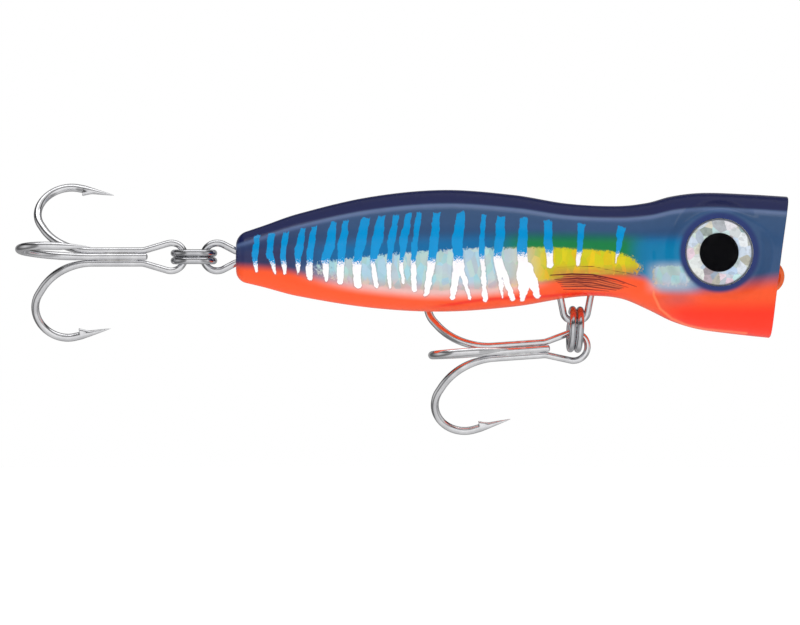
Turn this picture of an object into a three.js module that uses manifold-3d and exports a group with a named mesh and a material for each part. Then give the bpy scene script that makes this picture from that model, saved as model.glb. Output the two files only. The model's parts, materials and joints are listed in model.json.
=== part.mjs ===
// A floating popper: a cup-faced fishing lure with two treble hooks on a through-wire.
// Millimetres, +X towards the nose, +Z up, +Y to the lure's left. The origin is the
// centre of the line-tie loop in the cup. Two moulded half shells close on the wire,
// the ballast and the rattle balls, and split rings carry the trebles.

import * as THREE from "three";
import { LoftGeometry } from "three/addons/geometries/LoftGeometry.js";
import { mergeVertices } from "three/addons/utils/BufferGeometryUtils.js";
import Module from "manifold-3d";

const wasm = await Module();
wasm.setup();

// ---------------------------------------------------------------- driving dimensions

const BODY_LENGTH = 130; // tail face to the upper lip
const BODY_DEPTH = 28.7; // back to belly at the thickest station
const BODY_WIDTH = 24.8; // side to side at the same station
const WALL = 2.0; // shell wall
const SEAM = 0.1; // between the two half shells
const TAIL_ROUND = 2.2; // radius round the edge of the tail face
const CAVITY_ROUND = 4; // radius round both ends of the hollow
const CAVITY_START = 14; // tail face to the hollow

const LIP_RAKE = 7.3; // degrees that the upper lip leans ahead of the lower one
const LIP_SWEEP = 120; // radius of the lip seen from above, so that its sides sit back
const LIP_EDGE = 1.0; // thickness of the cup's lip
const CUP_DEPTH = 8.0; // lip to the bottom of the cup
const CUP_FLOOR = 2.4; // plastic behind the bottom of the cup

const WIRE = 1.65; // through-wire diameter
const WIRE_PLAY = 0.08; // round the wire in its channels
const LOOP_BORE = 4.9; // inside diameter of the nose and tail loops
const LOOP_NECK = 2.7; // centre distance of a loop's two strands where they go in
const NECK_BEND = 1.2; // centreline radius there
const TAIL_LOOP_REACH = 4.5; // tail face to the centre of the tail loop
const TAIL_LOOP_RISE = 4.6; // tail loop above the nose loop
const NOSE_LOOP_INSET = 2.35; // lip to the centre of the line-tie loop
const TAG_LENGTH = 9; // wire end that doubles back inside the body
const TAG_HOOK = 2.4; // bent tip that keeps a wire end from pulling out
const HANGER_DROP = 5.45; // belly to the wire centre at the foot of the belly hanger
const HANGER_SPREAD = 7.1; // leg spacing where the hanger leaves the belly
const HANGER_FOOT = 5; // leg spacing at its foot
const HANGER_BEND = 2.0; // centreline radius at its foot
const HANGER_TOP = 4; // wire height above the line tie over the hanger

const RING_OUTSIDE = 11; // split ring
const RING_WIRE = 1.7;
const RING_COIL_GAP = 0.06; // between the ring's two turns
const RING_PLAY = 0.4; // between a ring and the loop or hanger that it hangs on
const RING_JOG = 24; // degrees each side of the cross-over where the turns stop

const HOOK_WIRE = 1.55; // treble hook, along its shank
const HOOK_BEND_WIRE = 1.9; // where it is swaged thicker round the bend
const HOOK_EYE_BORE = 5.1;
const HOOK_NECK = 6.7; // middle of the eye to where its two legs run parallel
const HOOK_SHANK_END = 19.2; // middle of the eye to where the bend begins
const HOOK_SHANK_GAP = 3.0; // centre distance of the paired hook's two shanks
const HOOK_THIRD_START = 5.6; // middle of the eye to the end of the third shank
const HOOK_FLARE_RADIUS = 15; // first, open part of the bend
const HOOK_FLARE_ANGLE = 56;
const HOOK_FLARE_LENGTH = 1.4; // straight between the flare and the main bend
const HOOK_BEND_RADIUS = 7.3;
const HOOK_BEND_ANGLE = 138;
const HOOK_POINT_LENGTH = 9; // straight length behind the point
const HOOK_CONE_LENGTH = 7.4; // ground taper
const HOOK_TIP = 0.06; // radius left at the very point
const HOOK_PLAY = 0.1; // between a hook's eye and its split ring
const BARB_ROOT = 4.9; // point to the front of the barb's root
const BARB_LENGTH = 2.5;
const BARB_LIFT = 1.0; // how far the barb's tip stands off the taper
const BARB_WIDTH = 0.7;
const BRAZE_GAP = 0.05; // between shanks, filled with braze

const EYE_DIAMETER = 15.6; // moulded eye
const PUPIL_DIAMETER = 9.1;
const EYE_BASE = 0.5; // foil disc
const PUPIL_THICKNESS = 0.25;
const EYE_EDGE = 0.7; // height of the lens at its edge
const EYE_DOME = 1.7; // rise of the lens above its edge
const EYE_PLAY = 0.12; // round the eye in its socket and round the pupil
const EYE_SEAM = 0.04; // glue line between layers
const EYE_SET_BACK = 1.3; // socket face inside the widest part of the head
const SOCKET_RIM = 1.7; // width of the flat ring round the eye
const SOCKET_BLEND = 3; // how far the flat fades into the cheek
const SOCKET_WALL = 1.7; // plastic behind the eye

const BALL_DIAMETER = 6; // rattle balls
const BALL_COUNT = 3;
const BALL_TRAVEL = 3; // free run of a ball in its cell
const CELL_PLAY = 0.2; // round a ball, and past each end of its run
const TAIL_WEIGHT = { at: 16, length: 12, diameter: 5.2 }; // at: from the tail face
const KEEL_WEIGHT = { at: 31, length: 7, diameter: 6 };
const WEIGHT_PLAY = 0.1;
const TROUGH_WALL = 1.2; // plastic round a cell or a weight
const TROUGH_FLOOR = 0.3; // extra plastic under it

const RIB = 1.5; // bulkhead thickness
const DOWEL_DIAMETER = 2.4;
const DOWEL_LENGTH = 2.6;
const DOWEL_PLAY = 0.1;
const BOSS_WALL = 1.3; // plastic round a dowel

const TAIL_TREBLE_YAW = 7.5; // degrees that its bends swing to the lure's left
const TAIL_TREBLE_ROLL = 7; // degrees that its single hook points above square
const BELLY_RING_SWING = 32; // degrees that the belly ring hangs out to the left
const BELLY_RING_LEAN = 4; // degrees that its foot trails
const BELLY_TREBLE_DROOP = 4; // degrees that its bends hang below its eye
const BELLY_TREBLE_ROLL = 2;
const BELLY_EYE_DROP = 0.15; // middle of the hook's eye below the ring wire
const FLANK_PLAY = 0.5; // between its left hook and the flank that the hook lies beside

// Outlines as [share of the length from the tail, millimetres]: the heights are above
// the line tie for a depth of 28.7, and the half breadth is for a width of 24.8.
const OUTLINE_DEPTH = 28.7;
const OUTLINE_WIDTH = 24.8;
const BACK = [
  [0, 9.8], [0.05, 12.0], [0.11, 14.7], [0.24, 18.7], [0.375, 20.4], [0.505, 19.2],
  [0.6, 17.2], [0.69, 16.6], [0.745, 17.35], [0.79, 18.9], [0.845, 19.7], [0.93, 19.35],
  [1, 18.8],
];
const BELLY = [
  [0, -1.0], [0.05, -2.55], [0.11, -4.6], [0.245, -7.4], [0.375, -8.3], [0.505, -7.1],
  [0.6, -5.1], [0.65, -4.6], [0.7, -5.3], [0.745, -7.7], [0.79, -10.55], [0.835, -12.35],
  [0.89, -13.4], [0.967, -14.5], [1, -14.85],
];
const HALF_BREADTH = [
  [0, 4.7], [0.11, 7.7], [0.24, 10.7], [0.375, 12.4], [0.505, 11.9], [0.6, 10.5],
  [0.66, 9.8], [0.72, 10.3], [0.79, 12.6], [0.85, 14.2], [1, 15.9],
];
// Exponent of the cross-section: 2 is an ellipse, and the head is a little squarer.
const SQUARENESS = [[0, 2], [0.6, 2], [0.8, 2.3], [1, 2.2]];

// Stations, as shares of the length.
const HANGER_AT = 0.6155;
const EYE_AT = 0.869;
const EYE_HEIGHT = 5.5; // above the line tie, for a depth of 28.7
const RIBS_AT = [0.7, 0.8];
// Dowels as [share of the length, share of the half depth above the middle].
const DOWELS_AT = [[0.2, 0.6], [0.55, 0.6], [0.7, 0.6], [0.8, -0.62]];

// ---------------------------------------------------------------- helpers

const V = (x, y, z) => new THREE.Vector3(x, y, z);
const { degToRad, radToDeg, clamp, smoothstep } = THREE.MathUtils;
const Y_AXIS = V(0, 1, 0);
const FAR = 60; // further out than any part of the body

// A smooth line through [share, value] points, with slopes from each point's neighbours.
function smoothLine(points) {
  const slope = points.map((_, i) => {
    const before = points[Math.max(i - 1, 0)];
    const after = points[Math.min(i + 1, points.length - 1)];
    return (after[1] - before[1]) / (after[0] - before[0]);
  });
  return (share) => {
    const t = clamp(share, points[0][0], points.at(-1)[0]);
    const i = Math.max(points.findIndex((p) => p[0] >= t), 1) - 1;
    const span = points[i + 1][0] - points[i][0];
    const u = (t - points[i][0]) / span;
    const blend = (3 - 2 * u) * u * u;
    const level = points[i][1] * (1 - blend) + points[i + 1][1] * blend;
    const lean = slope[i] * u * (1 - u) * (1 - u) - slope[i + 1] * u * u * (1 - u);
    return level + lean * span;
  };
}

// A closed geometry as a manifold-3d solid.
function solid(geometry) {
  const bare = new THREE.BufferGeometry();
  bare.setAttribute("position", geometry.attributes.position);
  bare.setIndex(geometry.index);
  const merged = mergeVertices(bare, 1e-4);
  return new wasm.Manifold(new wasm.Mesh({
    numProp: 3,
    vertProperties: merged.attributes.position.array,
    triVerts: new Uint32Array(merged.index.array),
  }));
}

// A manifold-3d solid as a geometry.
function geometryOf(manifold) {
  const mesh = manifold.getMesh();
  const geometry = new THREE.BufferGeometry();
  geometry.setAttribute("position", new THREE.BufferAttribute(mesh.vertProperties, 3));
  geometry.setIndex(new THREE.BufferAttribute(mesh.triVerts, 1));
  return geometry;
}

const joined = (solids) => solids.reduce((whole, next) => whole.add(next));

// A box between two corners.
function block(low, high) {
  const size = high.clone().sub(low);
  const middle = high.clone().add(low).multiplyScalar(0.5);
  return solid(new THREE.BoxGeometry(size.x, size.y, size.z).translate(...middle));
}

// A solid of revolution. Its profile is [radius, height] pairs that start and end on
// the axis, and the axis runs from a point along a direction.
function turned(profile, sides, from, along) {
  const outline = profile.map(([r, h]) => new THREE.Vector2(r, h));
  const turn = new THREE.Quaternion().setFromUnitVectors(Y_AXIS, along.clone().normalize());
  const lathe = new THREE.LatheGeometry(outline, sides);
  return solid(lathe.applyQuaternion(turn).translate(...from));
}

function rod(from, to, radius, sides = 24) {
  const along = to.clone().sub(from);
  const height = along.length();
  return turned([[0, 0], [radius, 0], [radius, height], [0, height]], sides, from, along);
}

// Points along a flat line whose corners are [x, z, radius of the rounded corner].
function rounded(corners, degreesPerStep) {
  const flat = corners.map(([x, z]) => new THREE.Vector2(x, z));
  const points = [flat[0]];
  for (let i = 1; i < corners.length - 1; i++) {
    const back = flat[i - 1].clone().sub(flat[i]).normalize();
    const ahead = flat[i + 1].clone().sub(flat[i]).normalize();
    const turn = Math.PI - back.angleTo(ahead);
    const radius = corners[i][2];
    const start = flat[i].clone().addScaledVector(back, radius * Math.tan(turn / 2));
    const side = Math.sign(back.y * ahead.x - back.x * ahead.y);
    const inward = new THREE.Vector2(back.y, -back.x).multiplyScalar(side);
    const centre = start.clone().addScaledVector(inward, radius);
    const steps = Math.max(2, Math.ceil(radToDeg(turn) / degreesPerStep));
    for (let k = 0; k <= steps; k++)
      points.push(start.clone().rotateAround(centre, (side * turn * k) / steps));
  }
  points.push(flat.at(-1));
  return points.filter((p, i) => i === 0 || p.distanceTo(points[i - 1]) > 1e-3);
}

// Corners of a wire loop round (0, 0) whose two strands leave it towards +x, and turn
// parallel to each other at x = neck, gap apart.
function loopCorners(radius, neck, gap, neckBend) {
  const tilt = Math.asin(radius / Math.hypot(neck, gap / 2)) - Math.atan2(gap / 2, neck);
  const rise = gap / 2 + (neck + radius) * Math.tan(tilt);
  return [
    [neck, gap / 2, neckBend],
    [-radius, rise, radius],
    [-radius, -rise, radius],
    [neck, -gap / 2, neckBend],
  ];
}

// A round wire along points, with its radius at each point, closed at both ends.
function wire(points, radii, sides) {
  const last = points.length - 1;
  const tangents = points.map((_, i) =>
    points[Math.min(i + 1, last)].clone().sub(points[Math.max(i - 1, 0)]).normalize());
  let side = Y_AXIS.clone().cross(tangents[0]);
  const sections = points.map((point, i) => {
    side = side.clone().addScaledVector(tangents[i], -side.dot(tangents[i])).normalize();
    const up = tangents[i].clone().cross(side);
    return Array.from({ length: sides }, (_, k) => {
      const angle = (2 * Math.PI * k) / sides;
      return point.clone()
        .addScaledVector(side, radii[i] * Math.cos(angle))
        .addScaledVector(up, radii[i] * Math.sin(angle));
    });
  });
  return solid(new LoftGeometry(sections, { capStart: true, capEnd: true }));
}

// ---------------------------------------------------------------- the body's surface

const depthScale = BODY_DEPTH / OUTLINE_DEPTH;
const widthScale = BODY_WIDTH / OUTLINE_WIDTH;
const backLine = smoothLine(BACK);
const bellyLine = smoothLine(BELLY);
const breadthLine = smoothLine(HALF_BREADTH);
const squarenessLine = smoothLine(SQUARENESS);
const backAt = (share) => backLine(share) * depthScale;
const bellyAt = (share) => bellyLine(share) * depthScale;
const halfWidthAt = (share) => breadthLine(share) * widthScale;
const middleAt = (share) => (backAt(share) + bellyAt(share)) / 2;
const halfDepthAt = (share) => (backAt(share) - bellyAt(share)) / 2;

// The lip is a raked surface, swept back a little at its sides.
const lipSlope = Math.tan(degToRad(LIP_RAKE));
const lipAt = (y, z) => NOSE_LOOP_INSET + z * lipSlope - (y * y) / (2 * LIP_SWEEP);
const TAIL_X = lipAt(0, backAt(1)) - BODY_LENGTH;
const xAt = (share) => TAIL_X + share * BODY_LENGTH;
const shareAt = (x) => (x - TAIL_X) / BODY_LENGTH;

const eyeX = xAt(EYE_AT);
const eyeZ = EYE_HEIGHT * depthScale;
const eyeRadius = EYE_DIAMETER / 2;
const rimRadius = eyeRadius + EYE_PLAY + SOCKET_RIM;
const eyeFace = halfWidthAt(EYE_AT) - EYE_SET_BACK;
const eyeSeat = eyeFace - EYE_EDGE - EYE_BASE - 2 * EYE_SEAM;

// How far an end rounded to a radius has drawn in, at a distance from that end.
function drawnIn(distance, radius) {
  const short = clamp(radius - distance, 0, radius);
  return radius - Math.sqrt(radius * radius - short * short);
}

// The half width of the cross-section at a height.
function flankAt(share, z) {
  const power = squarenessLine(share);
  const up = Math.min(Math.abs(z - middleAt(share)) / halfDepthAt(share), 1);
  return halfWidthAt(share) * (1 - up ** power) ** (1 / power);
}

// The points of a rounded section round (0, middle), as (y, z) pairs.
function roundSection(wide, deep, middle, power, sides) {
  const shape = (value) => Math.sign(value) * Math.abs(value) ** (2 / power);
  return Array.from({ length: sides }, (_, k) => {
    const angle = (2 * Math.PI * k) / sides;
    return [wide * shape(Math.cos(angle)), middle + deep * shape(Math.sin(angle))];
  });
}

// One cross-section of the body, drawn in by an inset and no wider than a limit.
function bodySection(x, inset, sides, limit = Infinity) {
  const share = shareAt(x);
  const wide = Math.min(halfWidthAt(share) - inset, limit);
  const deep = halfDepthAt(share) - inset;
  return roundSection(wide, deep, middleAt(share), squarenessLine(share), sides)
    .map(([y, z]) => V(x, y, z));
}

// The cheek goes flat round the eye.
function flattenRoundEye(point) {
  const distance = Math.hypot(point.x - eyeX, point.z - eyeZ);
  const flat = 1 - smoothstep(distance, rimRadius, rimRadius + SOCKET_BLEND);
  point.y += Math.sign(point.y) * (eyeFace - Math.abs(point.y)) * flat;
  return point;
}

// The outside of the body, run on past the lip.
function bodyOutside() {
  const sides = 32;
  const roundSteps = 4;
  const steps = 27;
  const overrun = 2;
  const distances = [];
  for (let i = 0; i < roundSteps; i++)
    distances.push(TAIL_ROUND * (1 - Math.cos((i / roundSteps) * (Math.PI / 2))));
  for (let i = 0; i <= steps; i++)
    distances.push(TAIL_ROUND + ((BODY_LENGTH + overrun - TAIL_ROUND) * i) / steps);
  const sections = distances.map((distance) =>
    bodySection(TAIL_X + distance, drawnIn(distance, TAIL_ROUND), sides).map(flattenRoundEye));
  return solid(new LoftGeometry(sections, { capStart: true, capEnd: true }));
}

// The hollow inside the shells, from the solid tail to the back of the cup.
function bodyInside() {
  const sides = 16;
  const steps = 14;
  const from = TAIL_X + CAVITY_START;
  const to = lipAt(0, 0) - CUP_DEPTH - CUP_FLOOR;
  const limit = eyeSeat - SOCKET_WALL;
  const sections = Array.from({ length: steps + 1 }, (_, i) => {
    const along = (1 - Math.cos((Math.PI * i) / steps)) / 2;
    const x = from + (to - from) * along;
    const end = Math.min(x - from, to - x);
    return bodySection(x, WALL + drawnIn(end, CAVITY_ROUND), sides, limit);
  });
  return solid(new LoftGeometry(sections, { capStart: true, capEnd: true }));
}

// The bowl of the cup, run on past the lip.
function cupBowl() {
  const sides = 32;
  const steps = 5;
  const overrun = 3;
  const taper = 1.2; // above 1, the bowl narrows towards its bottom
  const lowShare = shareAt(lipAt(0, bellyAt(1)));
  const top = backAt(1) - LIP_EDGE;
  const bottom = bellyAt(lowShare) + LIP_EDGE;
  const wide = halfWidthAt(lowShare) - LIP_EDGE;
  const section = (size, depth) =>
    roundSection(size * wide, (size * (top - bottom)) / 2, (top + bottom) / 2,
      squarenessLine(1), sides).map(([y, z]) => V(lipAt(y, z) - depth, y, z));
  const sections = [];
  for (let i = 0; i < steps; i++) {
    const angle = ((i + 0.5) / (steps + 0.5)) * (Math.PI / 2);
    sections.push(section(Math.sin(angle) ** taper, CUP_DEPTH * Math.cos(angle)));
  }
  sections.push(section(1, 0), section(1, -overrun));
  return solid(new LoftGeometry(sections, { capStart: true, capEnd: true }));
}

// What lies behind the lip: a big upright cylinder that leans with the rake, and the
// rest of the body behind it.
function behindLip() {
  const sides = 160;
  const rake = degToRad(LIP_RAKE);
  const lean = V(Math.sin(rake), 0, Math.cos(rake));
  const foot = V(lipAt(0, 0) - LIP_SWEEP * Math.cos(rake), 0, LIP_SWEEP * Math.sin(rake));
  const front = rod(foot.clone().addScaledVector(lean, -FAR),
    foot.clone().addScaledVector(lean, FAR), LIP_SWEEP, sides);
  return front.add(block(V(TAIL_X - FAR, -FAR, -FAR), V(foot.x, FAR, FAR)));
}

// ---------------------------------------------------------------- the through-wire

const loopRadius = (LOOP_BORE + WIRE) / 2;
const tailLoopX = TAIL_X - TAIL_LOOP_REACH;
const hangerX = xAt(HANGER_AT);
const hangerFootZ = bellyAt(HANGER_AT) - HANGER_DROP;

// One wire: the nose tag, the line-tie loop, the belly hanger, the tail loop, the tail tag.
function throughWire(play = 0) {
  const noseNeck = lipAt(0, 0) - CUP_DEPTH;
  const noseTag = noseNeck - TAG_LENGTH;
  const tailTag = TAIL_X + TAG_LENGTH;
  const strand = LOOP_NECK / 2;
  const nose = loopCorners(loopRadius, -noseNeck, LOOP_NECK, NECK_BEND)
    .map(([x, z, radius]) => [-x, z, radius]);
  const tail = loopCorners(loopRadius, TAIL_X - tailLoopX, LOOP_NECK, NECK_BEND)
    .map(([x, z, radius]) => [tailLoopX + x, TAIL_LOOP_RISE + z, radius]);
  const splay = (HANGER_SPREAD - HANGER_FOOT) / (2 * HANGER_DROP);
  const topSpread = HANGER_FOOT / 2 + splay * (HANGER_TOP - hangerFootZ);
  const points = rounded([
    [noseTag, strand + TAG_HOOK + play],
    [noseTag, strand, NECK_BEND],
    ...nose,
    [hangerX + topSpread, HANGER_TOP, HANGER_BEND],
    [hangerX + HANGER_FOOT / 2, hangerFootZ, HANGER_BEND],
    [hangerX - HANGER_FOOT / 2, hangerFootZ, HANGER_BEND],
    [hangerX - topSpread, HANGER_TOP, HANGER_BEND],
    ...tail,
    [tailTag, TAIL_LOOP_RISE - strand, NECK_BEND],
    [tailTag, TAIL_LOOP_RISE - strand - TAG_HOOK - play],
  ], 20).map((point) => V(point.x, 0, point.y));
  return wire(points, points.map(() => WIRE / 2 + play), 8);
}

// ---------------------------------------------------------------- ballast and rattles

// A cylinder that lies along the keel, as low as the shell's floor allows.
function keelCylinder({ at, length, diameter }) {
  const stations = [at, at + length / 2, at + length].map((s) => s / BODY_LENGTH);
  const z = Math.max(...stations.map(bellyAt)) + WALL + TROUGH_FLOOR + diameter / 2;
  return { from: V(TAIL_X + at, 0, z), to: V(TAIL_X + at + length, 0, z), diameter };
}

const tailWeight = keelCylinder(TAIL_WEIGHT);
const keelWeight = keelCylinder(KEEL_WEIGHT);
const cellLength = BALL_DIAMETER + BALL_TRAVEL + 2 * CELL_PLAY;
const firstCell = KEEL_WEIGHT.at + KEEL_WEIGHT.length + WEIGHT_PLAY + TROUGH_WALL;
const cells = Array.from({ length: BALL_COUNT }, (_, i) => keelCylinder({
  at: firstCell + i * (cellLength + TROUGH_WALL),
  length: cellLength,
  diameter: BALL_DIAMETER + 2 * CELL_PLAY,
}));

const lying = ({ from, to, diameter }, play) => rod(
  V(from.x - play, 0, from.z), V(to.x + play, 0, to.z), diameter / 2 + play, 14);

// The block of plastic that a cell or a weight lies in.
function trough({ from, to, diameter }) {
  const out = diameter / 2 + TROUGH_WALL;
  return block(V(from.x - TROUGH_WALL, -out, -FAR), V(to.x + TROUGH_WALL, out, from.z + out));
}

// ---------------------------------------------------------------- the half shells

const dowels = DOWELS_AT.map(([share, up]) =>
  ({ x: xAt(share), z: middleAt(share) + up * halfDepthAt(share) }));

// A rod across the body at each dowel, from one side to the other.
const acrossAtDowels = (from, to, radius) => joined(dowels.map(({ x, z }) =>
  rod(V(x, from, z), V(x, to, z), radius, 10)));

// Both halves in one piece, before they are parted and doweled.
function wholeBody() {
  const socket = (side, from, to, radius) =>
    rod(V(eyeX, side * from, eyeZ), V(eyeX, side * to, eyeZ), radius, 32);
  const outside = [-1, 1].reduce((body, side) => body
    .add(socket(side, eyeFace / 2, eyeFace, rimRadius))
    .subtract(socket(side, eyeFace, FAR, rimRadius))
    .subtract(socket(side, eyeSeat, FAR, eyeRadius + EYE_PLAY)), bodyOutside());
  const ribs = RIBS_AT.map((share) =>
    block(V(xAt(share) - RIB / 2, -FAR, -FAR), V(xAt(share) + RIB / 2, FAR, FAR)));
  const kept = joined([
    ...ribs,
    ...[tailWeight, keelWeight, ...cells].map(trough),
    acrossAtDowels(-FAR, FAR, DOWEL_DIAMETER / 2 + BOSS_WALL),
  ]);
  return outside
    .subtract(bodyInside().subtract(kept))
    .subtract(lying(tailWeight, WEIGHT_PLAY))
    .subtract(lying(keelWeight, WEIGHT_PLAY))
    .subtract(joined(cells.map((cell) => lying(cell, 0))))
    .subtract(throughWire(WIRE_PLAY))
    .subtract(cupBowl())
    .intersect(behindLip());
}

const wholeShell = wholeBody();
const halfSpace = (low, high) => block(V(TAIL_X - FAR, low, -FAR), V(FAR, high, FAR));

// The left half carries the dowel pins, and the right half their holes.
const leftShell = wholeShell.intersect(halfSpace(SEAM / 2, FAR))
  .add(acrossAtDowels(DOWEL_LENGTH, -DOWEL_LENGTH, DOWEL_DIAMETER / 2));
const rightShell = wholeShell.intersect(halfSpace(-FAR, -SEAM / 2))
  .subtract(acrossAtDowels(0, -DOWEL_LENGTH - DOWEL_PLAY, DOWEL_DIAMETER / 2 + DOWEL_PLAY));

// ---------------------------------------------------------------- eyes

// A turned piece of an eye, from a height above the seat, outwards.
const onEyeAxis = (profile, side, height) =>
  turned(profile, 24, V(eyeX, side * (eyeSeat + height), eyeZ), V(0, side, 0));

const disc = (radius, height) => [[0, 0], [radius, 0], [radius, height], [0, height]];

const eyeFoil = (side) => onEyeAxis(disc(eyeRadius, EYE_BASE), side, EYE_SEAM);

const eyePupil = (side) =>
  onEyeAxis(disc(PUPIL_DIAMETER / 2, PUPIL_THICKNESS), side, EYE_BASE + 2 * EYE_SEAM);

// A clear dome with a shallow recess behind it for the pupil.
function eyeLens(side) {
  const recess = PUPIL_THICKNESS + EYE_SEAM;
  const pupil = PUPIL_DIAMETER / 2 + EYE_PLAY;
  const sphere = (eyeRadius ** 2 + EYE_DOME ** 2) / (2 * EYE_DOME);
  const spread = Math.asin(eyeRadius / sphere);
  const steps = 4;
  const profile = [[0, recess], [pupil, recess], [pupil, 0], [eyeRadius, 0]];
  for (let i = 0; i < steps; i++) {
    const angle = spread * (1 - i / steps);
    const height = EYE_EDGE + EYE_DOME - sphere * (1 - Math.cos(angle));
    profile.push([sphere * Math.sin(angle), height]);
  }
  profile.push([0, EYE_EDGE + EYE_DOME]);
  return onEyeAxis(profile, side, EYE_BASE + 2 * EYE_SEAM);
}

// ---------------------------------------------------------------- split rings

const ringRadius = (RING_OUTSIDE - RING_WIRE) / 2;
const ringPitch = RING_WIRE + RING_COIL_GAP;

// Two turns of wire round the Z axis, which step over each other at the cross-over.
function splitRing(crossover) {
  const steps = 38;
  const points = Array.from({ length: steps + 1 }, (_, i) => {
    const degrees = RING_JOG + ((720 - 2 * RING_JOG) * i) / steps;
    const level = smoothstep(degrees, 360 - RING_JOG, 360 + RING_JOG) - 0.5;
    const angle = degToRad(degrees + crossover);
    return V(ringRadius * Math.cos(angle), ringRadius * Math.sin(angle), ringPitch * level);
  });
  return wire(points, points.map(() => RING_WIRE / 2), 8);
}

// ---------------------------------------------------------------- treble hooks

const hookEyeRadius = (HOOK_EYE_BORE + HOOK_WIRE) / 2;
const shankOut = HOOK_SHANK_GAP / 2;
const thirdOut = Math.sqrt((HOOK_WIRE + BRAZE_GAP) ** 2 - shankOut ** 2);
const HOOK_ANGLE = 120; // between the three hooks of a treble

// One hook from its shank to its point, as [distance behind the middle of the eye,
// distance out from the shank].
function hookLine(from) {
  const points = [[from, 0]];
  let heading = 0;
  const ahead = (length) => {
    const [back, out] = points.at(-1);
    points.push([back + length * Math.cos(heading), out + length * Math.sin(heading)]);
  };
  const bend = (radius, degrees, steps) => {
    const step = degToRad(degrees) / steps;
    for (let i = 0; i < steps; i++) {
      heading += step / 2;
      ahead(2 * radius * Math.sin(step / 2));
      heading += step / 2;
    }
  };
  ahead(HOOK_SHANK_END - from);
  bend(HOOK_FLARE_RADIUS, HOOK_FLARE_ANGLE, 5);
  ahead(HOOK_FLARE_LENGTH);
  bend(HOOK_BEND_RADIUS, HOOK_BEND_ANGLE, 11);
  ahead(HOOK_POINT_LENGTH - HOOK_CONE_LENGTH);
  ahead(HOOK_CONE_LENGTH);
  return points;
}

// The wire's radius at each place of a hook: it swells over the flare, and ends in a point.
const hookRadii = (line) => line.map(([back], i) => {
  const swell = smoothstep(back, HOOK_SHANK_END - 1, HOOK_SHANK_END + HOOK_BEND_RADIUS);
  const bent = i > line.length / 2 ? 1 : swell;
  return i === line.length - 1 ? HOOK_TIP : (HOOK_WIRE + (HOOK_BEND_WIRE - HOOK_WIRE) * bent) / 2;
});

// A place on a hook that leans out at an angle round the treble's axis, from a shank at
// (y, z). The middle of the eye is the treble's origin, and its bends lie towards -X.
function onHook([back, out], degrees, shank) {
  const angle = degToRad(degrees);
  return V(-back, shank.y + out * Math.cos(angle), shank.z + out * Math.sin(angle));
}

// The wedge of the barb, on the side of the point that faces the shank.
function barb(line, degrees, shank) {
  const tip = new THREE.Vector2(...line.at(-1));
  const along = new THREE.Vector2(...line.at(-2)).sub(tip).normalize();
  const inward = new THREE.Vector2(along.y, -along.x);
  const slope = (HOOK_BEND_WIRE / 2 - HOOK_TIP) / HOOK_CONE_LENGTH;
  const end = BARB_ROOT + BARB_LENGTH;
  const corner = (back, down) => tip.clone().addScaledVector(along, back).addScaledVector(inward, down);
  const outline = [
    corner(BARB_ROOT, slope * BARB_ROOT * 0.5),
    corner(end, slope * end * 0.9 + BARB_LIFT),
    corner(end - BARB_LENGTH / 4, slope * end * 0.5),
  ];
  const angle = degToRad(degrees);
  const across = V(0, -Math.sin(angle), Math.cos(angle)).multiplyScalar(BARB_WIDTH / 2);
  const face = (side) => outline.map((spot) =>
    onHook([spot.x, spot.y], degrees, shank).addScaledVector(across, side));
  return solid(new LoftGeometry([face(1), face(-1)], { capStart: true, capEnd: true }));
}

// Two hooks bent from one wire, which goes round the eye between them.
function treblePair() {
  const from = HOOK_NECK + NECK_BEND;
  const line = hookLine(from);
  const lean = HOOK_ANGLE / 2;
  const upper = { y: 0, z: shankOut };
  const lower = { y: 0, z: -shankOut };
  const eye = rounded([[from, shankOut],
    ...loopCorners(hookEyeRadius, HOOK_NECK, HOOK_SHANK_GAP, 3 * NECK_BEND),
    [from, -shankOut]], 20).slice(1, -1).map((point) => V(-point.x, 0, point.y));
  const up = line.map((spot) => onHook(spot, lean, upper));
  const down = line.map((spot) => onHook(spot, -lean, lower));
  const points = [...up.reverse(), ...eye, ...down];
  const radii = [...hookRadii(line).reverse(), ...eye.map(() => HOOK_WIRE / 2), ...hookRadii(line)];
  return wire(points, radii, 8).add(barb(line, lean, upper)).add(barb(line, -lean, lower));
}

// The third hook, brazed between the other two.
function trebleThird() {
  const line = hookLine(HOOK_THIRD_START);
  const shank = { y: -thirdOut, z: 0 };
  const lean = (HOOK_ANGLE * 3) / 2;
  return wire(line.map((spot) => onHook(spot, lean, shank)), hookRadii(line), 8)
    .add(barb(line, lean, shank));
}

// ---------------------------------------------------------------- assembly

const FINISHES = {
  paint: { color: 0x2c5a86, roughness: 0.25, metalness: 0 },
  wire: { color: 0xc9ccd0, roughness: 0.25, metalness: 1 },
  hooks: { color: 0xb9bcc0, roughness: 0.3, metalness: 1 },
  foil: { color: 0xdfe4ea, roughness: 0.2, metalness: 0.9 },
  pupil: { color: 0x050507, roughness: 0.2, metalness: 0 },
  lens: { color: 0xf4f8fb, roughness: 0.05, metalness: 0 },
  lead: { color: 0x6e7277, roughness: 0.6, metalness: 0.8 },
  steel: { color: 0xaeb2b6, roughness: 0.2, metalness: 1 },
};

const group = new THREE.Group();

function put(name, manifold, finish, parent = group) {
  const mesh = new THREE.Mesh(geometryOf(manifold), new THREE.MeshStandardMaterial(FINISHES[finish]));
  mesh.name = name;
  parent.add(mesh);
}

// A place in degrees of roll about X, then of pitch about Y, then of yaw about Z.
function frame(place, { roll = 0, pitch = 0, yaw = 0 }, parent = group) {
  const holder = new THREE.Group();
  holder.position.copy(place);
  holder.rotation.set(degToRad(roll), degToRad(pitch), degToRad(yaw), "ZYX");
  parent.add(holder);
  holder.updateWorldMatrix(true, false);
  return holder;
}

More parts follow.
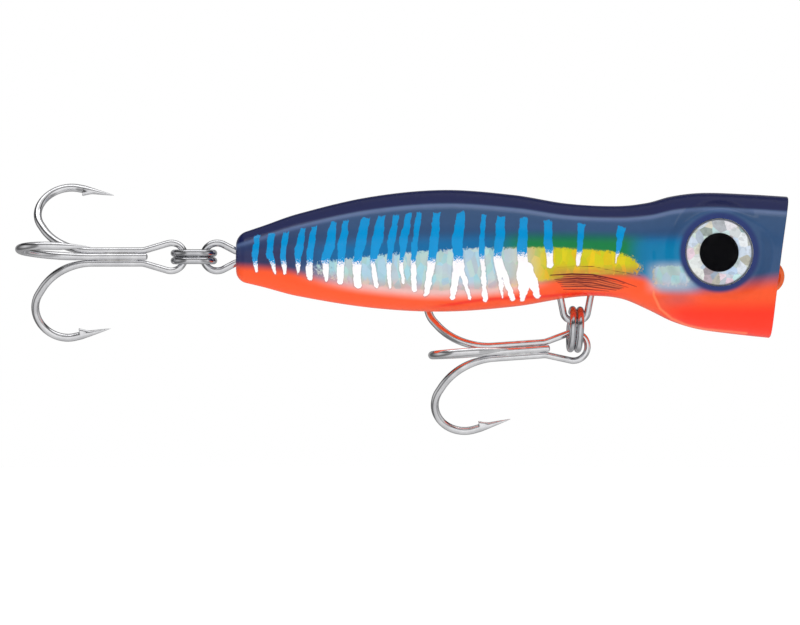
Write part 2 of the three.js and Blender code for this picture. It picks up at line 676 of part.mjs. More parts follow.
put("left_body_shell", leftShell, "paint");
put("right_body_shell", rightShell, "paint");
put("through_wire", throughWire(), "wire");
for (const [name, side] of [["left", 1], ["right", -1]]) {
  put(`${name}_eye_foil`, eyeFoil(side), "foil");
  put(`${name}_eye_pupil`, eyePupil(side), "pupil");
  put(`${name}_eye_lens`, eyeLens(side), "lens");
}
put("tail_weight", lying(tailWeight, 0), "lead");
put("keel_weight", lying(keelWeight, 0), "lead");
cells.forEach(({ from, to }, i) => {
  const ball = new THREE.SphereGeometry(BALL_DIAMETER / 2, 12, 8);
  put(`rattle_ball_${i + 1}`, solid(ball.translate((from.x + to.x) / 2, 0, from.z)), "steel");
});

// The tail ring's two turns sit side by side against the inside of the tail loop.
const turnOut = LOOP_BORE / 2 - RING_WIRE / 2 - RING_PLAY;
const tailRingFront = tailLoopX - Math.sqrt(turnOut ** 2 - (ringPitch / 2) ** 2);
const tailRingX = tailRingFront - ringRadius;
put("tail_split_ring", splitRing(90), "wire", frame(V(tailRingX, 0, TAIL_LOOP_RISE), {}));

// The tail treble's eye is pulled back against the ring's two turns.
const eyeShift = HOOK_EYE_BORE / 2 - (RING_WIRE + ringPitch) / 2 - HOOK_PLAY;
const tailTreble = frame(V(tailRingX - ringRadius, 0, TAIL_LOOP_RISE),
  { roll: -TAIL_TREBLE_ROLL, yaw: -TAIL_TREBLE_YAW });
const tailHooks = frame(V(-eyeShift, 0, 0), {}, tailTreble);
put("tail_treble_pair", treblePair(), "hooks", tailHooks);
put("tail_treble_third", trebleThird(), "hooks", tailHooks);

// The belly ring hangs from the hanger's foot, swung out beside the keel.
const bellyDrop = ringRadius - RING_WIRE / 2 - RING_PLAY - WIRE / 2;
const bellyHang = frame(V(hangerX, 0, hangerFootZ), { roll: BELLY_RING_SWING });
const bellyRing = frame(V(0, 0, -bellyDrop), { pitch: BELLY_RING_LEAN }, bellyHang);
put("belly_split_ring", splitRing(90), "wire", frame(V(0, 0, 0), { pitch: 90 }, bellyRing));

// The belly treble is turned until its left hook clears the flank that it lies beside.
const bellyPivot = bellyRing.localToWorld(V(0, 0, -ringRadius));
const flare = degToRad(HOOK_FLARE_ANGLE);
const hookOut = HOOK_FLARE_RADIUS * (1 - Math.cos(flare)) + HOOK_FLARE_LENGTH * Math.sin(flare)
  + HOOK_BEND_RADIUS * (1 + Math.cos(flare));
const hookBack = HOOK_SHANK_END + (HOOK_FLARE_RADIUS - HOOK_BEND_RADIUS) * Math.sin(flare)
  + HOOK_FLARE_LENGTH * Math.cos(flare);
const leftLean = degToRad(HOOK_ANGLE / 2 + BELLY_TREBLE_ROLL);
const leftHookSide = bellyPivot.y + hookOut * Math.cos(leftLean);
const leftHookTop = bellyPivot.z - BELLY_EYE_DROP + shankOut + hookOut * Math.sin(leftLean)
  - hookBack * Math.sin(degToRad(BELLY_TREBLE_DROOP));
const flank = flankAt(shareAt(bellyPivot.x - hookBack), leftHookTop) + FLANK_PLAY + HOOK_BEND_WIRE / 2;
const bellyTrebleYaw = radToDeg(Math.asin((leftHookSide - flank) / hookBack));
const bellyTreble = frame(bellyPivot,
  { roll: -BELLY_TREBLE_ROLL, pitch: -BELLY_TREBLE_DROOP, yaw: bellyTrebleYaw });
const bellyHooks = frame(V(0, 0, -BELLY_EYE_DROP), {}, bellyTreble);
put("belly_treble_pair", treblePair(), "hooks", bellyHooks);
put("belly_treble_third", trebleThird(), "hooks", bellyHooks);

export default group;
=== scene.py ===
# %% [markdown]
# # A popper: paint, foil, resin eyes and plated hooks
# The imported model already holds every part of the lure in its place, so this lesson only
# gives the parts their looks. The painted shells, the wire, the rings and the hooks are
# made again as fine surfaces from the same few formulas that shaped the plain parts,
# because gloss paint and plated wire show every facet. The hidden ballast and rattle
# balls keep their plain meshes and get a material.

# %% Load the frame
import json
import math

import bmesh
import bpy
import numpy as np
from mathutils import Euler, Matrix, Vector
from mathutils.geometry import tessellate_polygon


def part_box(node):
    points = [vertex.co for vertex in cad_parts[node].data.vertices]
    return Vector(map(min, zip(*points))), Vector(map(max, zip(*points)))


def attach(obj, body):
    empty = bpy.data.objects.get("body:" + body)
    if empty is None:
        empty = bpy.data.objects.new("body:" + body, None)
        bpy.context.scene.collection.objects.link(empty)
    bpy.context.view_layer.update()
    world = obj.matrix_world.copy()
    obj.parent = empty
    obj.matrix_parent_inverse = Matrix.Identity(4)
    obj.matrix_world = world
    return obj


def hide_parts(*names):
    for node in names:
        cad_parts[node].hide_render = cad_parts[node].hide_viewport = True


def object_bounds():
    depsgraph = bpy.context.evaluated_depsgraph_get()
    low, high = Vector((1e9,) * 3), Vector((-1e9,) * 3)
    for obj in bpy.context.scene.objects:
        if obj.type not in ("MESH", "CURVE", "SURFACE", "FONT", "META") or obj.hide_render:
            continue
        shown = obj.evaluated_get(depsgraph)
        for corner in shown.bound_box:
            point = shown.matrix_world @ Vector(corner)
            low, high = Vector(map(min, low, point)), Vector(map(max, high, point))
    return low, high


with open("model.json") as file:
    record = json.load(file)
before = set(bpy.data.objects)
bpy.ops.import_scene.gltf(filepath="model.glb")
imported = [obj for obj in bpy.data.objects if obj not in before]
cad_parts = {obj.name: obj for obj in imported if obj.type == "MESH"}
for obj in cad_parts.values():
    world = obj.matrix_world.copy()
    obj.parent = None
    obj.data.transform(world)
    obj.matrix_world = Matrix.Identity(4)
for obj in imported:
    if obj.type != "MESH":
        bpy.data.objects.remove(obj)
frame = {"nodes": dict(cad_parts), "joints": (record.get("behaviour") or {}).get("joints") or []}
cad_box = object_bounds()
MM = 0.001  # every size below is in millimetres
joints = {j["name"]: j for j in frame["joints"]}

# %% [markdown]
# ## The camera and the room
# A lure is shown side-on, its nose to the right, from far enough away that both ends are
# seen square. A long lens a metre off does that. The room is a wide pale floor under a
# white backdrop. Bright wire mirrors its room, so cards of grey and black hang round it,
# and only the eye sees the backdrop as plain white.

# %% Camera
CAMERA_AIM = (-86.6, 0.0, -8.5)
CAMERA_DISTANCE = 1000.0
VIEW_WIDTH = 188.7  # what the view takes in at the lure's middle plane
SENSOR = 36.0

camera_data = bpy.data.cameras.new("side_camera")
camera_data.sensor_width = SENSOR
camera_data.lens = SENSOR * CAMERA_DISTANCE / VIEW_WIDTH
camera = bpy.data.objects.new("side_camera", camera_data)
camera.location = Vector(CAMERA_AIM) * MM + Vector((0, -CAMERA_DISTANCE * MM, 0))
camera.rotation_euler = (math.radians(90), 0, 0)
bpy.context.scene.collection.objects.link(camera)
bpy.context.scene.camera = camera
bpy.context.scene.view_settings.view_transform = "Standard"
print("lens", round(camera_data.lens, 1), "mm")


# %% A short way to write shader nodes
def srgb(red, green, blue, alpha=1.0):
    """A colour given as 0 to 255 display values, turned into linear light."""
    share = np.array([red, green, blue]) / 255
    linear = np.where(share <= 0.04045, share / 12.92, ((share + 0.055) / 1.055) ** 2.4)
    return (*[float(v) for v in linear], alpha)


def node(tree, kind, inputs=None, **settings):
    """Adds a shader node; an input is a plain value, or a socket that gets linked."""
    made = tree.nodes.new(kind)
    for key, value in settings.items():
        setattr(made, key, value)
    for key, value in (inputs or {}).items():
        if isinstance(value, bpy.types.NodeSocket):
            tree.links.new(value, made.inputs[key])
        else:
            made.inputs[key].default_value = value
    return made


def ramp(tree, factor, stops):
    """A colour ramp; stops are (place, colour), or (place, level) for a grey."""
    made = tree.nodes.new("ShaderNodeValToRGB")
    while len(made.color_ramp.elements) < len(stops):
        made.color_ramp.elements.new(0.5)
    for element, (place, colour) in zip(made.color_ramp.elements, stops):
        element.position = place
        element.color = colour if isinstance(colour, tuple) else (colour, colour, colour, 1)
    tree.links.new(factor, made.inputs["Fac"])
    return made.outputs["Color"]


def mixed(tree, factor, first, second, blend="MIX"):
    """Two colours mixed by a factor."""
    made = node(tree, "ShaderNodeMix", {0: factor, 6: first, 7: second},
                data_type="RGBA", blend_type=blend)
    return made.outputs[2]


def calculated(tree, operation, first, second=0.5, third=0.5, clamp=False):
    """One sum on up to three numbers; MULTIPLY_ADD is first times second plus third."""
    made = node(tree, "ShaderNodeMath", {0: first, 1: second, 2: third},
                operation=operation, use_clamp=clamp)
    return made.outputs[0]


def step_at(tree, value, low, high):
    """0 below low and 1 above high, with a soft step between."""
    made = node(tree, "ShaderNodeMapRange", {"Value": value, "From Min": low, "From Max": high},
                interpolation_type="SMOOTHSTEP")
    return made.outputs["Result"]


print("node helpers ready")


# %% Materials, places and patterns
def material(name, **surface):
    """A new material with a Principled surface whose constant values are set on it."""
    made = bpy.data.materials.new(name)
    made.use_nodes = True
    principled = made.node_tree.nodes["Principled BSDF"]
    for key, value in surface.items():
        principled.inputs[key.replace("_", " ")].default_value = value
    return made, made.node_tree, principled


def object_place(tree):
    """Object coordinates in millimetres."""
    where = node(tree, "ShaderNodeTexCoord").outputs["Object"]
    return node(tree, "ShaderNodeVectorMath", {0: where, 3: 1 / MM}, operation="SCALE").outputs[0]


def stretched(tree, place, factors):
    """A place with each coordinate times its own factor, which draws a pattern out."""
    return node(tree, "ShaderNodeVectorMath", {0: place, 1: factors}, operation="MULTIPLY").outputs[0]


def noise(tree, place, scale, detail=3.0, roughness=0.5):
    """Cloudy noise from 0 to 1; a scale of 1 has spots about a millimetre wide."""
    made = node(tree, "ShaderNodeTexNoise", {"Vector": place, "Scale": scale, "Detail": detail,
                                             "Roughness": roughness})
    return made.outputs["Fac"]


def facet_numbers(tree, place, scale):
    """Flat cells, and three even random numbers from 0 to 1 for each cell."""
    cells = node(tree, "ShaderNodeTexVoronoi", {"Vector": place, "Scale": scale})
    return node(tree, "ShaderNodeSeparateColor", {0: cells.outputs["Color"]}).outputs


def raise_surface(tree, principled, height, strength, distance, socket="Normal"):
    """Raises a surface by a height from 0 to 1 times a distance in millimetres."""
    made = node(tree, "ShaderNodeBump", {"Strength": strength, "Distance": distance * MM,
                                         "Height": height})
    tree.links.new(made.outputs["Normal"], principled.inputs[socket])


print("pattern helpers ready")


# %% Floor
FLOOR_DROP = 62.0  # floor below the lowest hook
FLOOR_RADIUS = 1500.0
FLOOR_SIDES = 128

floor_mesh = bpy.data.meshes.new("studio_floor")
floor_z = cad_box[0].z - FLOOR_DROP * MM
turn = np.linspace(0, 2 * np.pi, FLOOR_SIDES, endpoint=False)
floor_rim = np.stack([CAMERA_AIM[0] * MM + FLOOR_RADIUS * MM * np.cos(turn),
                      FLOOR_RADIUS * MM * np.sin(turn), floor_z + 0 * turn], axis=1)
floor_mesh.from_pydata(floor_rim.tolist(), [], [list(range(len(turn)))])
floor = bpy.data.objects.new("studio_floor", floor_mesh)
bpy.context.scene.collection.objects.link(floor)
floor_material, tree, principled = material("lit_white_floor", Roughness=0.9,
                                            Emission_Color=(1, 1, 1, 1), Emission_Strength=0.72)
grain = noise(tree, object_place(tree), 0.02)
tree.links.new(ramp(tree, grain, [(0.3, 0.86), (0.7, 0.9)]), principled.inputs["Base Color"])
floor_mesh.materials.append(floor_material)
floor.visible_glossy = False
print("floor at", round(floor_z / MM, 1), "mm")

# %% Cards of light and dark round the lure
world = bpy.data.worlds.new("soft_studio")
bpy.context.scene.world = world
world.use_nodes = True
tree = world.node_tree
direction = node(tree, "ShaderNodeTexCoord").outputs["Generated"]
toward = node(tree, "ShaderNodeSeparateXYZ", {0: direction}).outputs


def flags(axis, stops):
    """Cards of light and dark hung along one axis; a stop is (-1 to 1, level)."""
    return ramp(tree, calculated(tree, "MULTIPLY_ADD", toward[axis], 0.5, 0.5),
                [(place / 2 + 0.5, level) for place, level in stops])


upward = flags("Z", [(-1, 0.72), (-0.55, 0.85), (-0.2, 1.0), (0.2, 1.0), (0.36, 0.85),
                     (0.44, 0.12), (0.6, 0.1), (0.74, 0.8), (1, 0.8)])
away = flags("Y", [(-1, 1.0), (0.0, 0.95), (0.5, 0.55), (1, 0.36)])
across = flags("X", [(-1, 0.7), (-0.85, 0.25), (-0.65, 0.25), (-0.5, 0.9), (0.5, 1.0),
                     (0.75, 0.4), (1, 0.7)])
studio = mixed(tree, 1.0, mixed(tree, 1.0, upward, away, "MULTIPLY"), across, "MULTIPLY")
seen = node(tree, "ShaderNodeLightPath").outputs["Is Camera Ray"]
tree.links.new(mixed(tree, seen, studio, (1, 1, 1, 1)), tree.nodes["Background"].inputs["Color"])
tree.nodes["Background"].inputs["Strength"].default_value = 1.0
print("world", world.name, "has", len(tree.nodes), "nodes")


# %% Lamps
def lamp(name, place, aim, size, power):
    """A rectangular soft lamp at a place, turned to face a point; millimetres and watts."""
    data = bpy.data.lights.new(name, "AREA")
    data.shape = "RECTANGLE"
    data.size, data.size_y = size[0] * MM, size[1] * MM
    data.energy = power
    made = bpy.data.objects.new(name, data)
    made.location = Vector(place) * MM
    facing = Vector(aim) * MM - made.location
    made.rotation_euler = facing.to_track_quat("-Z", "Y").to_euler()
    bpy.context.scene.collection.objects.link(made)
    return made


middle = tuple((cad_box[0] + cad_box[1]) / 2 / MM)
lamp("top_softbox", (-80, -60, 640), middle, (1000, 150), 0.8)
lamp("top_fill", (-80, -120, 660), middle, (1000, 300), 1.1).visible_glossy = False
lamp("front_softbox", (-320, -900, 420), middle, (500, 400), 2.4).visible_glossy = False
lamp("back_softbox", (60, 700, 380), middle, (600, 400), 2.4).visible_glossy = False
print("lamps aim at", [round(v, 1) for v in middle])

# %% [markdown]
# ## The body's shape
# The body is a stack of rounded sections. Three outlines along its length give the
# height of the back, the height of the belly and the half breadth, and a smooth line
# runs through each outline's points. A section is a superellipse: an ellipse whose
# exponent may be a little over 2, which squares its shoulders.

# %% Outlines
BODY_LENGTH = 130.0
TAIL_ROUND = 2.2
LIP_RAKE = 7.3
LIP_SWEEP = 120.0
LIP_EDGE = 1.0
LIP_FILLET = 0.3
CUP_DEPTH = 8.0
CUP_FLOOR = 2.4
WALL = 2.0
CAVITY_START = 14.0
CAVITY_ROUND = 4.0
HALF_SEAM = 0.004  # the two halves are painted over, so their parting line is a hair
NOSE_LOOP_INSET = 2.35
EYE_AT = 0.869
EYE_HEIGHT = 5.5

BACK = [
    (0, 9.8), (0.05, 12.0), (0.11, 14.7), (0.24, 18.7), (0.375, 20.4), (0.505, 19.2),
    (0.6, 17.2), (0.69, 16.6), (0.745, 17.35), (0.79, 18.9), (0.845, 19.7), (0.93, 19.35),
    (1, 18.8),
]
BELLY = [
    (0, -1.0), (0.05, -2.55), (0.11, -4.6), (0.245, -7.4), (0.375, -8.3), (0.505, -7.1),
    (0.6, -5.1), (0.65, -4.6), (0.7, -5.3), (0.745, -7.7), (0.79, -10.55), (0.835, -12.35),
    (0.89, -13.4), (0.967, -14.5), (1, -14.85),
]
HALF_BREADTH = [
    (0, 4.7), (0.11, 7.7), (0.24, 10.7), (0.375, 12.4), (0.505, 11.9), (0.6, 10.5),
    (0.66, 9.8), (0.72, 10.3), (0.79, 12.6), (0.85, 14.2), (1, 15.9),
]
SQUARENESS = [(0, 2), (0.6, 2), (0.8, 2.3), (1, 2.2)]
print("back, belly and breadth points", len(BACK), len(BELLY), len(HALF_BREADTH))


# %% Smooth lines and steps
def smooth_line(points, share):
    """A smooth line through (share, value) points: between two points it is the cubic whose
    slope at each point is the slope from the point before it to the point after it."""
    at, value = np.array(points, float).T
    slope = np.empty(len(at))
    slope[1:-1] = (value[2:] - value[:-2]) / (at[2:] - at[:-2])
    slope[0] = (value[1] - value[0]) / (at[1] - at[0])
    slope[-1] = (value[-1] - value[-2]) / (at[-1] - at[-2])
    t = np.clip(share, at[0], at[-1])
    i = np.clip(np.searchsorted(at, t) - 1, 0, len(at) - 2)
    span = at[i + 1] - at[i]
    u = (t - at[i]) / span
    blend = (3 - 2 * u) * u * u
    lean = slope[i] * u * (1 - u) ** 2 - slope[i + 1] * u * u * (1 - u)
    return value[i] * (1 - blend) + value[i + 1] * blend + lean * span


def smoothstep(value, low, high):
    """0 at low, 1 at high, with level ends; low may be the larger of the two."""
    t = np.clip((value - low) / (high - low), 0, 1)
    return t * t * (3 - 2 * t)


print("belly at mid length", round(float(smooth_line(BELLY, 0.5)), 2), "mm")

# %% Sections of the body
lip_slope = math.tan(math.radians(LIP_RAKE))


def lip_at(y, z):
    """How far forward the lip lies: leaning ahead with height, swept back at its sides."""
    return NOSE_LOOP_INSET + z * lip_slope - y * y / (2 * LIP_SWEEP)


TAIL_X = lip_at(0, BACK[-1][1]) - BODY_LENGTH


def share_at(x):
    """How far along the body x is: 0 at the tail face and 1 at the top of the lip."""
    return (x - TAIL_X) / BODY_LENGTH


def section(share):
    """(half breadth, half depth, middle height, exponent) of the section at each share."""
    back, belly = smooth_line(BACK, share), smooth_line(BELLY, share)
    return (smooth_line(HALF_BREADTH, share), (back - belly) / 2, (back + belly) / 2,
            smooth_line(SQUARENESS, share))


def superellipse(wide, deep, middle, power, angle):
    """The half section from the keel, angle -90 degrees, to the back, angle 90 degrees."""
    across = np.clip(np.cos(angle), 0, 1) ** (2 / power)
    up = np.sign(np.sin(angle)) * np.abs(np.sin(angle)) ** (2 / power)
    return wide * across, middle + deep * up


def drawn_in(distance, radius):
    """How far an end rounded to a radius has drawn in, at a distance from that end."""
    short = np.clip(radius - distance, 0, radius)
    return radius - np.sqrt(radius**2 - short**2)


eye_x, eye_z = TAIL_X + EYE_AT * BODY_LENGTH, EYE_HEIGHT
print("tail face at", round(TAIL_X, 2), "eye at", round(eye_x, 2))

# %% [markdown]
# ## Eye sockets and the gill crease
# The cheek goes flat in a ring round each eye, and a shallow moulded crease sweeps from
# behind the eye down to the throat. Both are written as a change of the half breadth at
# each point, so they are part of the surface and not a trick of shading.

# %% Eye and gill sizes
EYE_DIAMETER = 15.6
EYE_PLAY = 0.12
EYE_SET_BACK = 1.3
EYE_BASE = 0.5
EYE_EDGE = 0.7
EYE_DOME = 1.7
EYE_SEAM = 0.04
PUPIL_DIAMETER = 9.1
PUPIL_THICKNESS = 0.25
SOCKET_RIM = 1.7
SOCKET_BLEND = 3.0
SOCKET_WALL = 1.7
GILL = [(97.4, 5.5), (97.5, 3.0), (98.0, -4.5), (99.6, -7.6), (102.4, -9.9), (106.0, -11.5),
        (110.0, -12.4), (120.0, -13.4)]  # (millimetres from the tail, height)
GILL_DEPTH = 0.16
GILL_WIDTH = 0.45

rim_radius = EYE_DIAMETER / 2 + EYE_PLAY + SOCKET_RIM
eye_face = float(smooth_line(HALF_BREADTH, EYE_AT)) - EYE_SET_BACK
eye_seat = eye_face - EYE_EDGE - EYE_BASE - 2 * EYE_SEAM


def distance_to_stroke(x, z, stroke):
    """Distance from each point to a brush stroke, a chain of (x, z, half width) spots.
    Along a span, the distance to its nearest point less the half width there; the smallest
    over all spans. It is below zero inside the stroke."""
    nearest = np.full(np.shape(x), 1e3)
    for (ax, az, aw), (bx, bz, bw) in zip(stroke, stroke[1:]):
        dx, dz = bx - ax, bz - az
        t = np.clip(((x - ax) * dx + (z - az) * dz) / (dx * dx + dz * dz), 0, 1)
        away = np.hypot(x - ax - t * dx, z - az - t * dz) - (aw + t * (bw - aw))
        nearest = np.minimum(nearest, away)
    return nearest


def gill_distance(x, z):
    """Distance from each point to the line of the crease."""
    return distance_to_stroke(x - TAIL_X, z, [(s, h, 0.0) for s, h in GILL])


def face_detail(x, y, z):
    """The half breadth with the flat round the eye and the gill crease worked in."""
    flat = 1 - smoothstep(np.hypot(x - eye_x, z - eye_z), rim_radius, rim_radius + SOCKET_BLEND)
    y = y + (eye_face - y) * flat
    crease = np.exp(-((gill_distance(x, z) / GILL_WIDTH) ** 2))
    return y - GILL_DEPTH * crease * np.clip(y / 3, 0, 1)


print("eye face", round(eye_face, 2), "and seat", round(eye_seat, 2), "from the middle plane")

# %% [markdown]
# ## A half shell
# Each half is one closed wall: painted skin, rounded lip, the bowl of the cup, the hollow
# inside, and the flat parting face. The skin, lip and bowl are one grid of points whose
# rows run round the section and whose columns run from the middle of the tail face,
# forward over the skin, round the lip and back down the bowl. The hollow is a second
# grid. A flat face with a hole in it joins the two on the middle plane.

# %% The mouth of the cup
def cup_mouth():
    """(half breadth, half depth, middle height, exponent) of the bowl where it meets the
    lip, one lip edge inside the skin."""
    low_share = share_at(lip_at(0, BELLY[-1][1]))
    top = BACK[-1][1] - LIP_EDGE
    bottom = float(smooth_line(BELLY, low_share)) + LIP_EDGE
    wide = float(smooth_line(HALF_BREADTH, low_share)) - LIP_EDGE
    return wide, (top - bottom) / 2, (top + bottom) / 2, float(smooth_line(SQUARENESS, 1.0))


print("cup mouth", [round(v, 2) for v in cup_mouth()])

# %% Grid of the skin, lip and bowl
ROWS = 141
SKIN_STEPS = 380
TAIL_STEPS = 9
LIP_STEPS = 7
BOWL_STEPS = 60
LIP_TRIES = 4  # repeats that settle where the skin meets the raked lip
BOWL_SQUEEZE = 1.2  # over 1, the bowl's floor is more pointed than a ball's
SKIN, CUP, INSIDE = 0, 1, 2  # material slots of a shell


def skin_grid():
    """Points of skin, lip and bowl as (x, y, z) arrays, and the slot of each column.
    A column is one section; the last skin column is pulled on to the lip's own surface."""
    angle = np.linspace(-np.pi / 2, np.pi / 2, ROWS)
    columns, slots = [], []

    def add(x, y, z, slot):
        """Keeps one column of points and its slot."""
        columns.append((np.broadcast_to(x, angle.shape), y, z))
        slots.append(slot)

    wide, deep, mid, power = section(0.0)
    for size in np.linspace(0, 1, TAIL_STEPS)[:-1]:
        y, z = superellipse((wide - TAIL_ROUND) * size, (deep - TAIL_ROUND) * size, mid, power, angle)
        add(TAIL_X, y, z, SKIN)
    for turn in np.linspace(0, np.pi / 2, TAIL_STEPS)[:-1]:
        inset = TAIL_ROUND * (1 - np.sin(turn))
        x = TAIL_X + TAIL_ROUND * (1 - np.cos(turn))
        wide, deep, mid, power = section(share_at(x))
        y, z = superellipse(wide - inset, deep - inset, mid, power, angle)
        add(x, y, z, SKIN)

    start = TAIL_X + TAIL_ROUND
    end = np.full(angle.shape, lip_at(0, 0))
    for _ in range(LIP_TRIES):
        rim_y, rim_z = superellipse(*section(share_at(end)), angle)
        end = lip_at(rim_y, rim_z)
    for u in np.linspace(0, 1, SKIN_STEPS):
        x = start + u * (end - LIP_FILLET - start)
        y, z = superellipse(*section(share_at(x)), angle)
        add(x, face_detail(x, y, z), z, SKIN)

    bowl_wide, bowl_deep, bowl_mid, bowl_power = cup_mouth()
    in_y, in_z = superellipse(bowl_wide, bowl_deep, bowl_mid, bowl_power, angle)
    gap = np.hypot(in_y - rim_y, in_z - rim_z)
    toward_y, toward_z = (in_y - rim_y) / gap, (in_z - rim_z) / gap
    for turn in np.linspace(0, np.pi / 2, LIP_STEPS)[1:]:
        y = rim_y + toward_y * LIP_FILLET * (1 - np.cos(turn))
        z = rim_z + toward_z * LIP_FILLET * (1 - np.cos(turn))
        add(lip_at(y, z) - LIP_FILLET * (1 - np.sin(turn)), y, z, SKIN)
    for turn in np.linspace(0, np.pi / 2, LIP_STEPS):
        y = in_y - toward_y * LIP_FILLET * (1 - np.sin(turn))
        z = in_z - toward_z * LIP_FILLET * (1 - np.sin(turn))
        add(lip_at(y, z) - LIP_FILLET * (1 - np.cos(turn)), y, z, CUP)
    flat_lip = math.acos(LIP_FILLET / CUP_DEPTH)
    for turn in np.linspace(flat_lip, 0, BOWL_STEPS)[1:]:
        size = math.sin(turn) ** BOWL_SQUEEZE
        y, z = superellipse(bowl_wide * size, bowl_deep * size, bowl_mid, bowl_power, angle)
        add(lip_at(y, z) - CUP_DEPTH * math.cos(turn), y, z, CUP)
    x, y, z = (np.array(part) for part in zip(*columns))
    return x, y, z, np.array(slots)


print("skin grid of", skin_grid()[0].shape, "columns and rows")

# %% Grid of the hollow
HOLLOW_ROWS = 49
HOLLOW_STEPS = 61
HOLLOW_END_STEPS = 5


def hollow_grid():
    """The hollow: sections a wall's thickness inside the skin, with a flat face at each end
    that shrinks to its middle."""
    angle = np.linspace(-np.pi / 2, np.pi / 2, HOLLOW_ROWS)
    low, high = TAIL_X + CAVITY_START, lip_at(0, 0) - CUP_DEPTH - CUP_FLOOR
    crowded = (1 - np.cos(np.linspace(0, np.pi, HOLLOW_STEPS))) / 2
    x = (low + (high - low) * crowded)[:, None] + 0 * angle
    wide, deep, mid, power = section(share_at(x))
    inset = WALL + drawn_in(np.minimum(x - low, high - x), CAVITY_ROUND)
    wide = np.minimum(wide - inset, eye_seat - SOCKET_WALL)
    y, z = superellipse(wide, deep - inset, mid, power, angle)
    size = np.linspace(0, 1, HOLLOW_END_STEPS)[:-1, None]
    grids = []
    for part, centre in ((x, x[[0, -1], :1]), (y, np.zeros((2, 1))), (z, mid[[0, -1], :1])):
        first = centre[0] + size * (part[0] - centre[0])
        last = centre[1] + size[::-1] * (part[-1] - centre[1])
        grids.append(np.concatenate([first, part, last]))
    return grids


print("hollow grid of", hollow_grid()[0].shape, "columns and rows")


# %% From points and faces to a piece
def grid_faces(columns, rows):
    """Quads between neighbouring columns and rows of a grid, as one array."""
    i, j = np.meshgrid(np.arange(columns - 1), np.arange(rows - 1), indexing="ij")
    a = (i * rows + j).ravel()
    return np.stack([a, a + 1, a + rows + 1, a + rows], axis=1)


def ring_faces(rings, sides):
    """Quads between neighbouring rings, each ring's last point joined to its first."""
    ring, spoke = np.divmod(grid_faces(rings, sides + 1), sides + 1)
    return ring * sides + spoke % sides


def mesh_object(name, points, faces, materials, slots=None):
    """An object from an array of points in millimetres and a list of faces; points that
    fall together are merged, and faces are turned to point outwards."""
    mesh = bpy.data.meshes.new(name)
    mesh.from_pydata((np.asarray(points) * MM).tolist(), [], [list(map(int, f)) for f in faces])
    for made in materials:
        mesh.materials.append(made)
    if slots is not None:
        mesh.polygons.foreach_set("material_index", np.asarray(slots, np.int32))
    work = bmesh.new()
    work.from_mesh(mesh)
    bmesh.ops.remove_doubles(work, verts=work.verts, dist=2e-7)
    bmesh.ops.dissolve_degenerate(work, edges=work.edges, dist=1e-7)
    bmesh.ops.recalc_face_normals(work, faces=work.faces)
    if work.calc_volume(signed=True) < 0:
        bmesh.ops.reverse_faces(work, faces=work.faces)
    open_edges = sum(1 for edge in work.edges if len(edge.link_faces) != 2)
    work.to_mesh(mesh)
    work.free()
    mesh.polygons.foreach_set("use_smooth", np.ones(len(mesh.polygons), bool))
    made = bpy.data.objects.new(name, mesh)
    bpy.context.scene.collection.objects.link(made)
    print(name, len(mesh.polygons), "faces", "open edges", open_edges)
    return made


print("a ring of 3 sides joins the next by", ring_faces(2, 3).tolist())


# %% One half
def parting_line(grid, start):
    """The numbers of a grid's points along the keel, and then back along the ridge."""
    columns, rows = grid.shape
    keel = start + rows * np.arange(columns)
    return [*keel.tolist(), *(keel[::-1] + rows - 1).tolist()]


def half_shell(name, side, materials):
    """One closed half, on the lure's left for side 1 and on its right for side -1."""
    x, y, z, column_slots = skin_grid()
    hx, hy, hz = hollow_grid()
    outer = np.stack([x, side * np.maximum(y, HALF_SEAM), z], axis=-1)
    inner = np.stack([hx, side * np.maximum(hy, HALF_SEAM), hz], axis=-1)
    points = np.concatenate([outer.reshape(-1, 3), inner.reshape(-1, 3)])
    outer_faces = grid_faces(*x.shape)
    inner_faces = grid_faces(*hx.shape) + x.size
    outer_slots = np.repeat(np.maximum(column_slots[:-1], column_slots[1:]), ROWS - 1)
    rings = [parting_line(x, 0), parting_line(hx, x.size)]
    flat = [[Vector((points[i][0], points[i][2], 0)) for i in ring] for ring in rings]
    order = rings[0] + rings[1]
    parting = [[order[k] for k in triangle] for triangle in tessellate_polygon(flat)]
    faces = outer_faces.tolist() + inner_faces.tolist() + parting
    slots = np.concatenate([outer_slots, np.full(len(inner_faces) + len(parting), INSIDE)])
    return mesh_object(name, points, faces, materials, slots)


print("shell wall", WALL, "mm, parting line", HALF_SEAM * 2, "mm wide")

# %% [markdown]
# ## The paint plan
# Under the clear coat lies a foil, and over the foil lie airbrushed colours: a navy back,
# a slate and deep blue flank, a green and yellow patch behind the gill, and an orange
# belly. Brushed bars and the rays of a fin go on last. The soft colours are worked out
# at every vertex from its place along the body and its height, and so is the distance to
# the edge of each brush stroke. The shader then turns a distance into a crisp edge.
# Some of this colour is painted light: the navy back's edge is a painted dark reflection,
# a painted highlight line lies just under it, a painted highlight runs along the gill
# crease, and the foil's facets carry painted glints.

# %% Colours and lines of the paint
# the back's own navy; its band ends at a set depth under the back, where a dark reflection ends, so
# that edge is a painted reflection
NAVY = (22, 30, 78)
SLATE = (50, 78, 116)
# painted highlight: the pale line just under the navy back
SHEEN = (96, 116, 160)
DEEP_BLUE = (0, 98, 152)
TAIL_DUSK = (44, 48, 86)
GREEN = (8, 118, 62)
YELLOW = (232, 208, 24)
AMBER = (222, 158, 60)
SILVER = (190, 218, 226)
ROSE = (226, 184, 176)
ORANGE = (232, 80, 36)
SCARLET = (230, 46, 22)
RED_LINE = (222, 26, 24)
TEAL = (0, 114, 160)
CHEEK_SILVER = (186, 190, 198)
CHEEK_DUSK = (150, 84, 96)
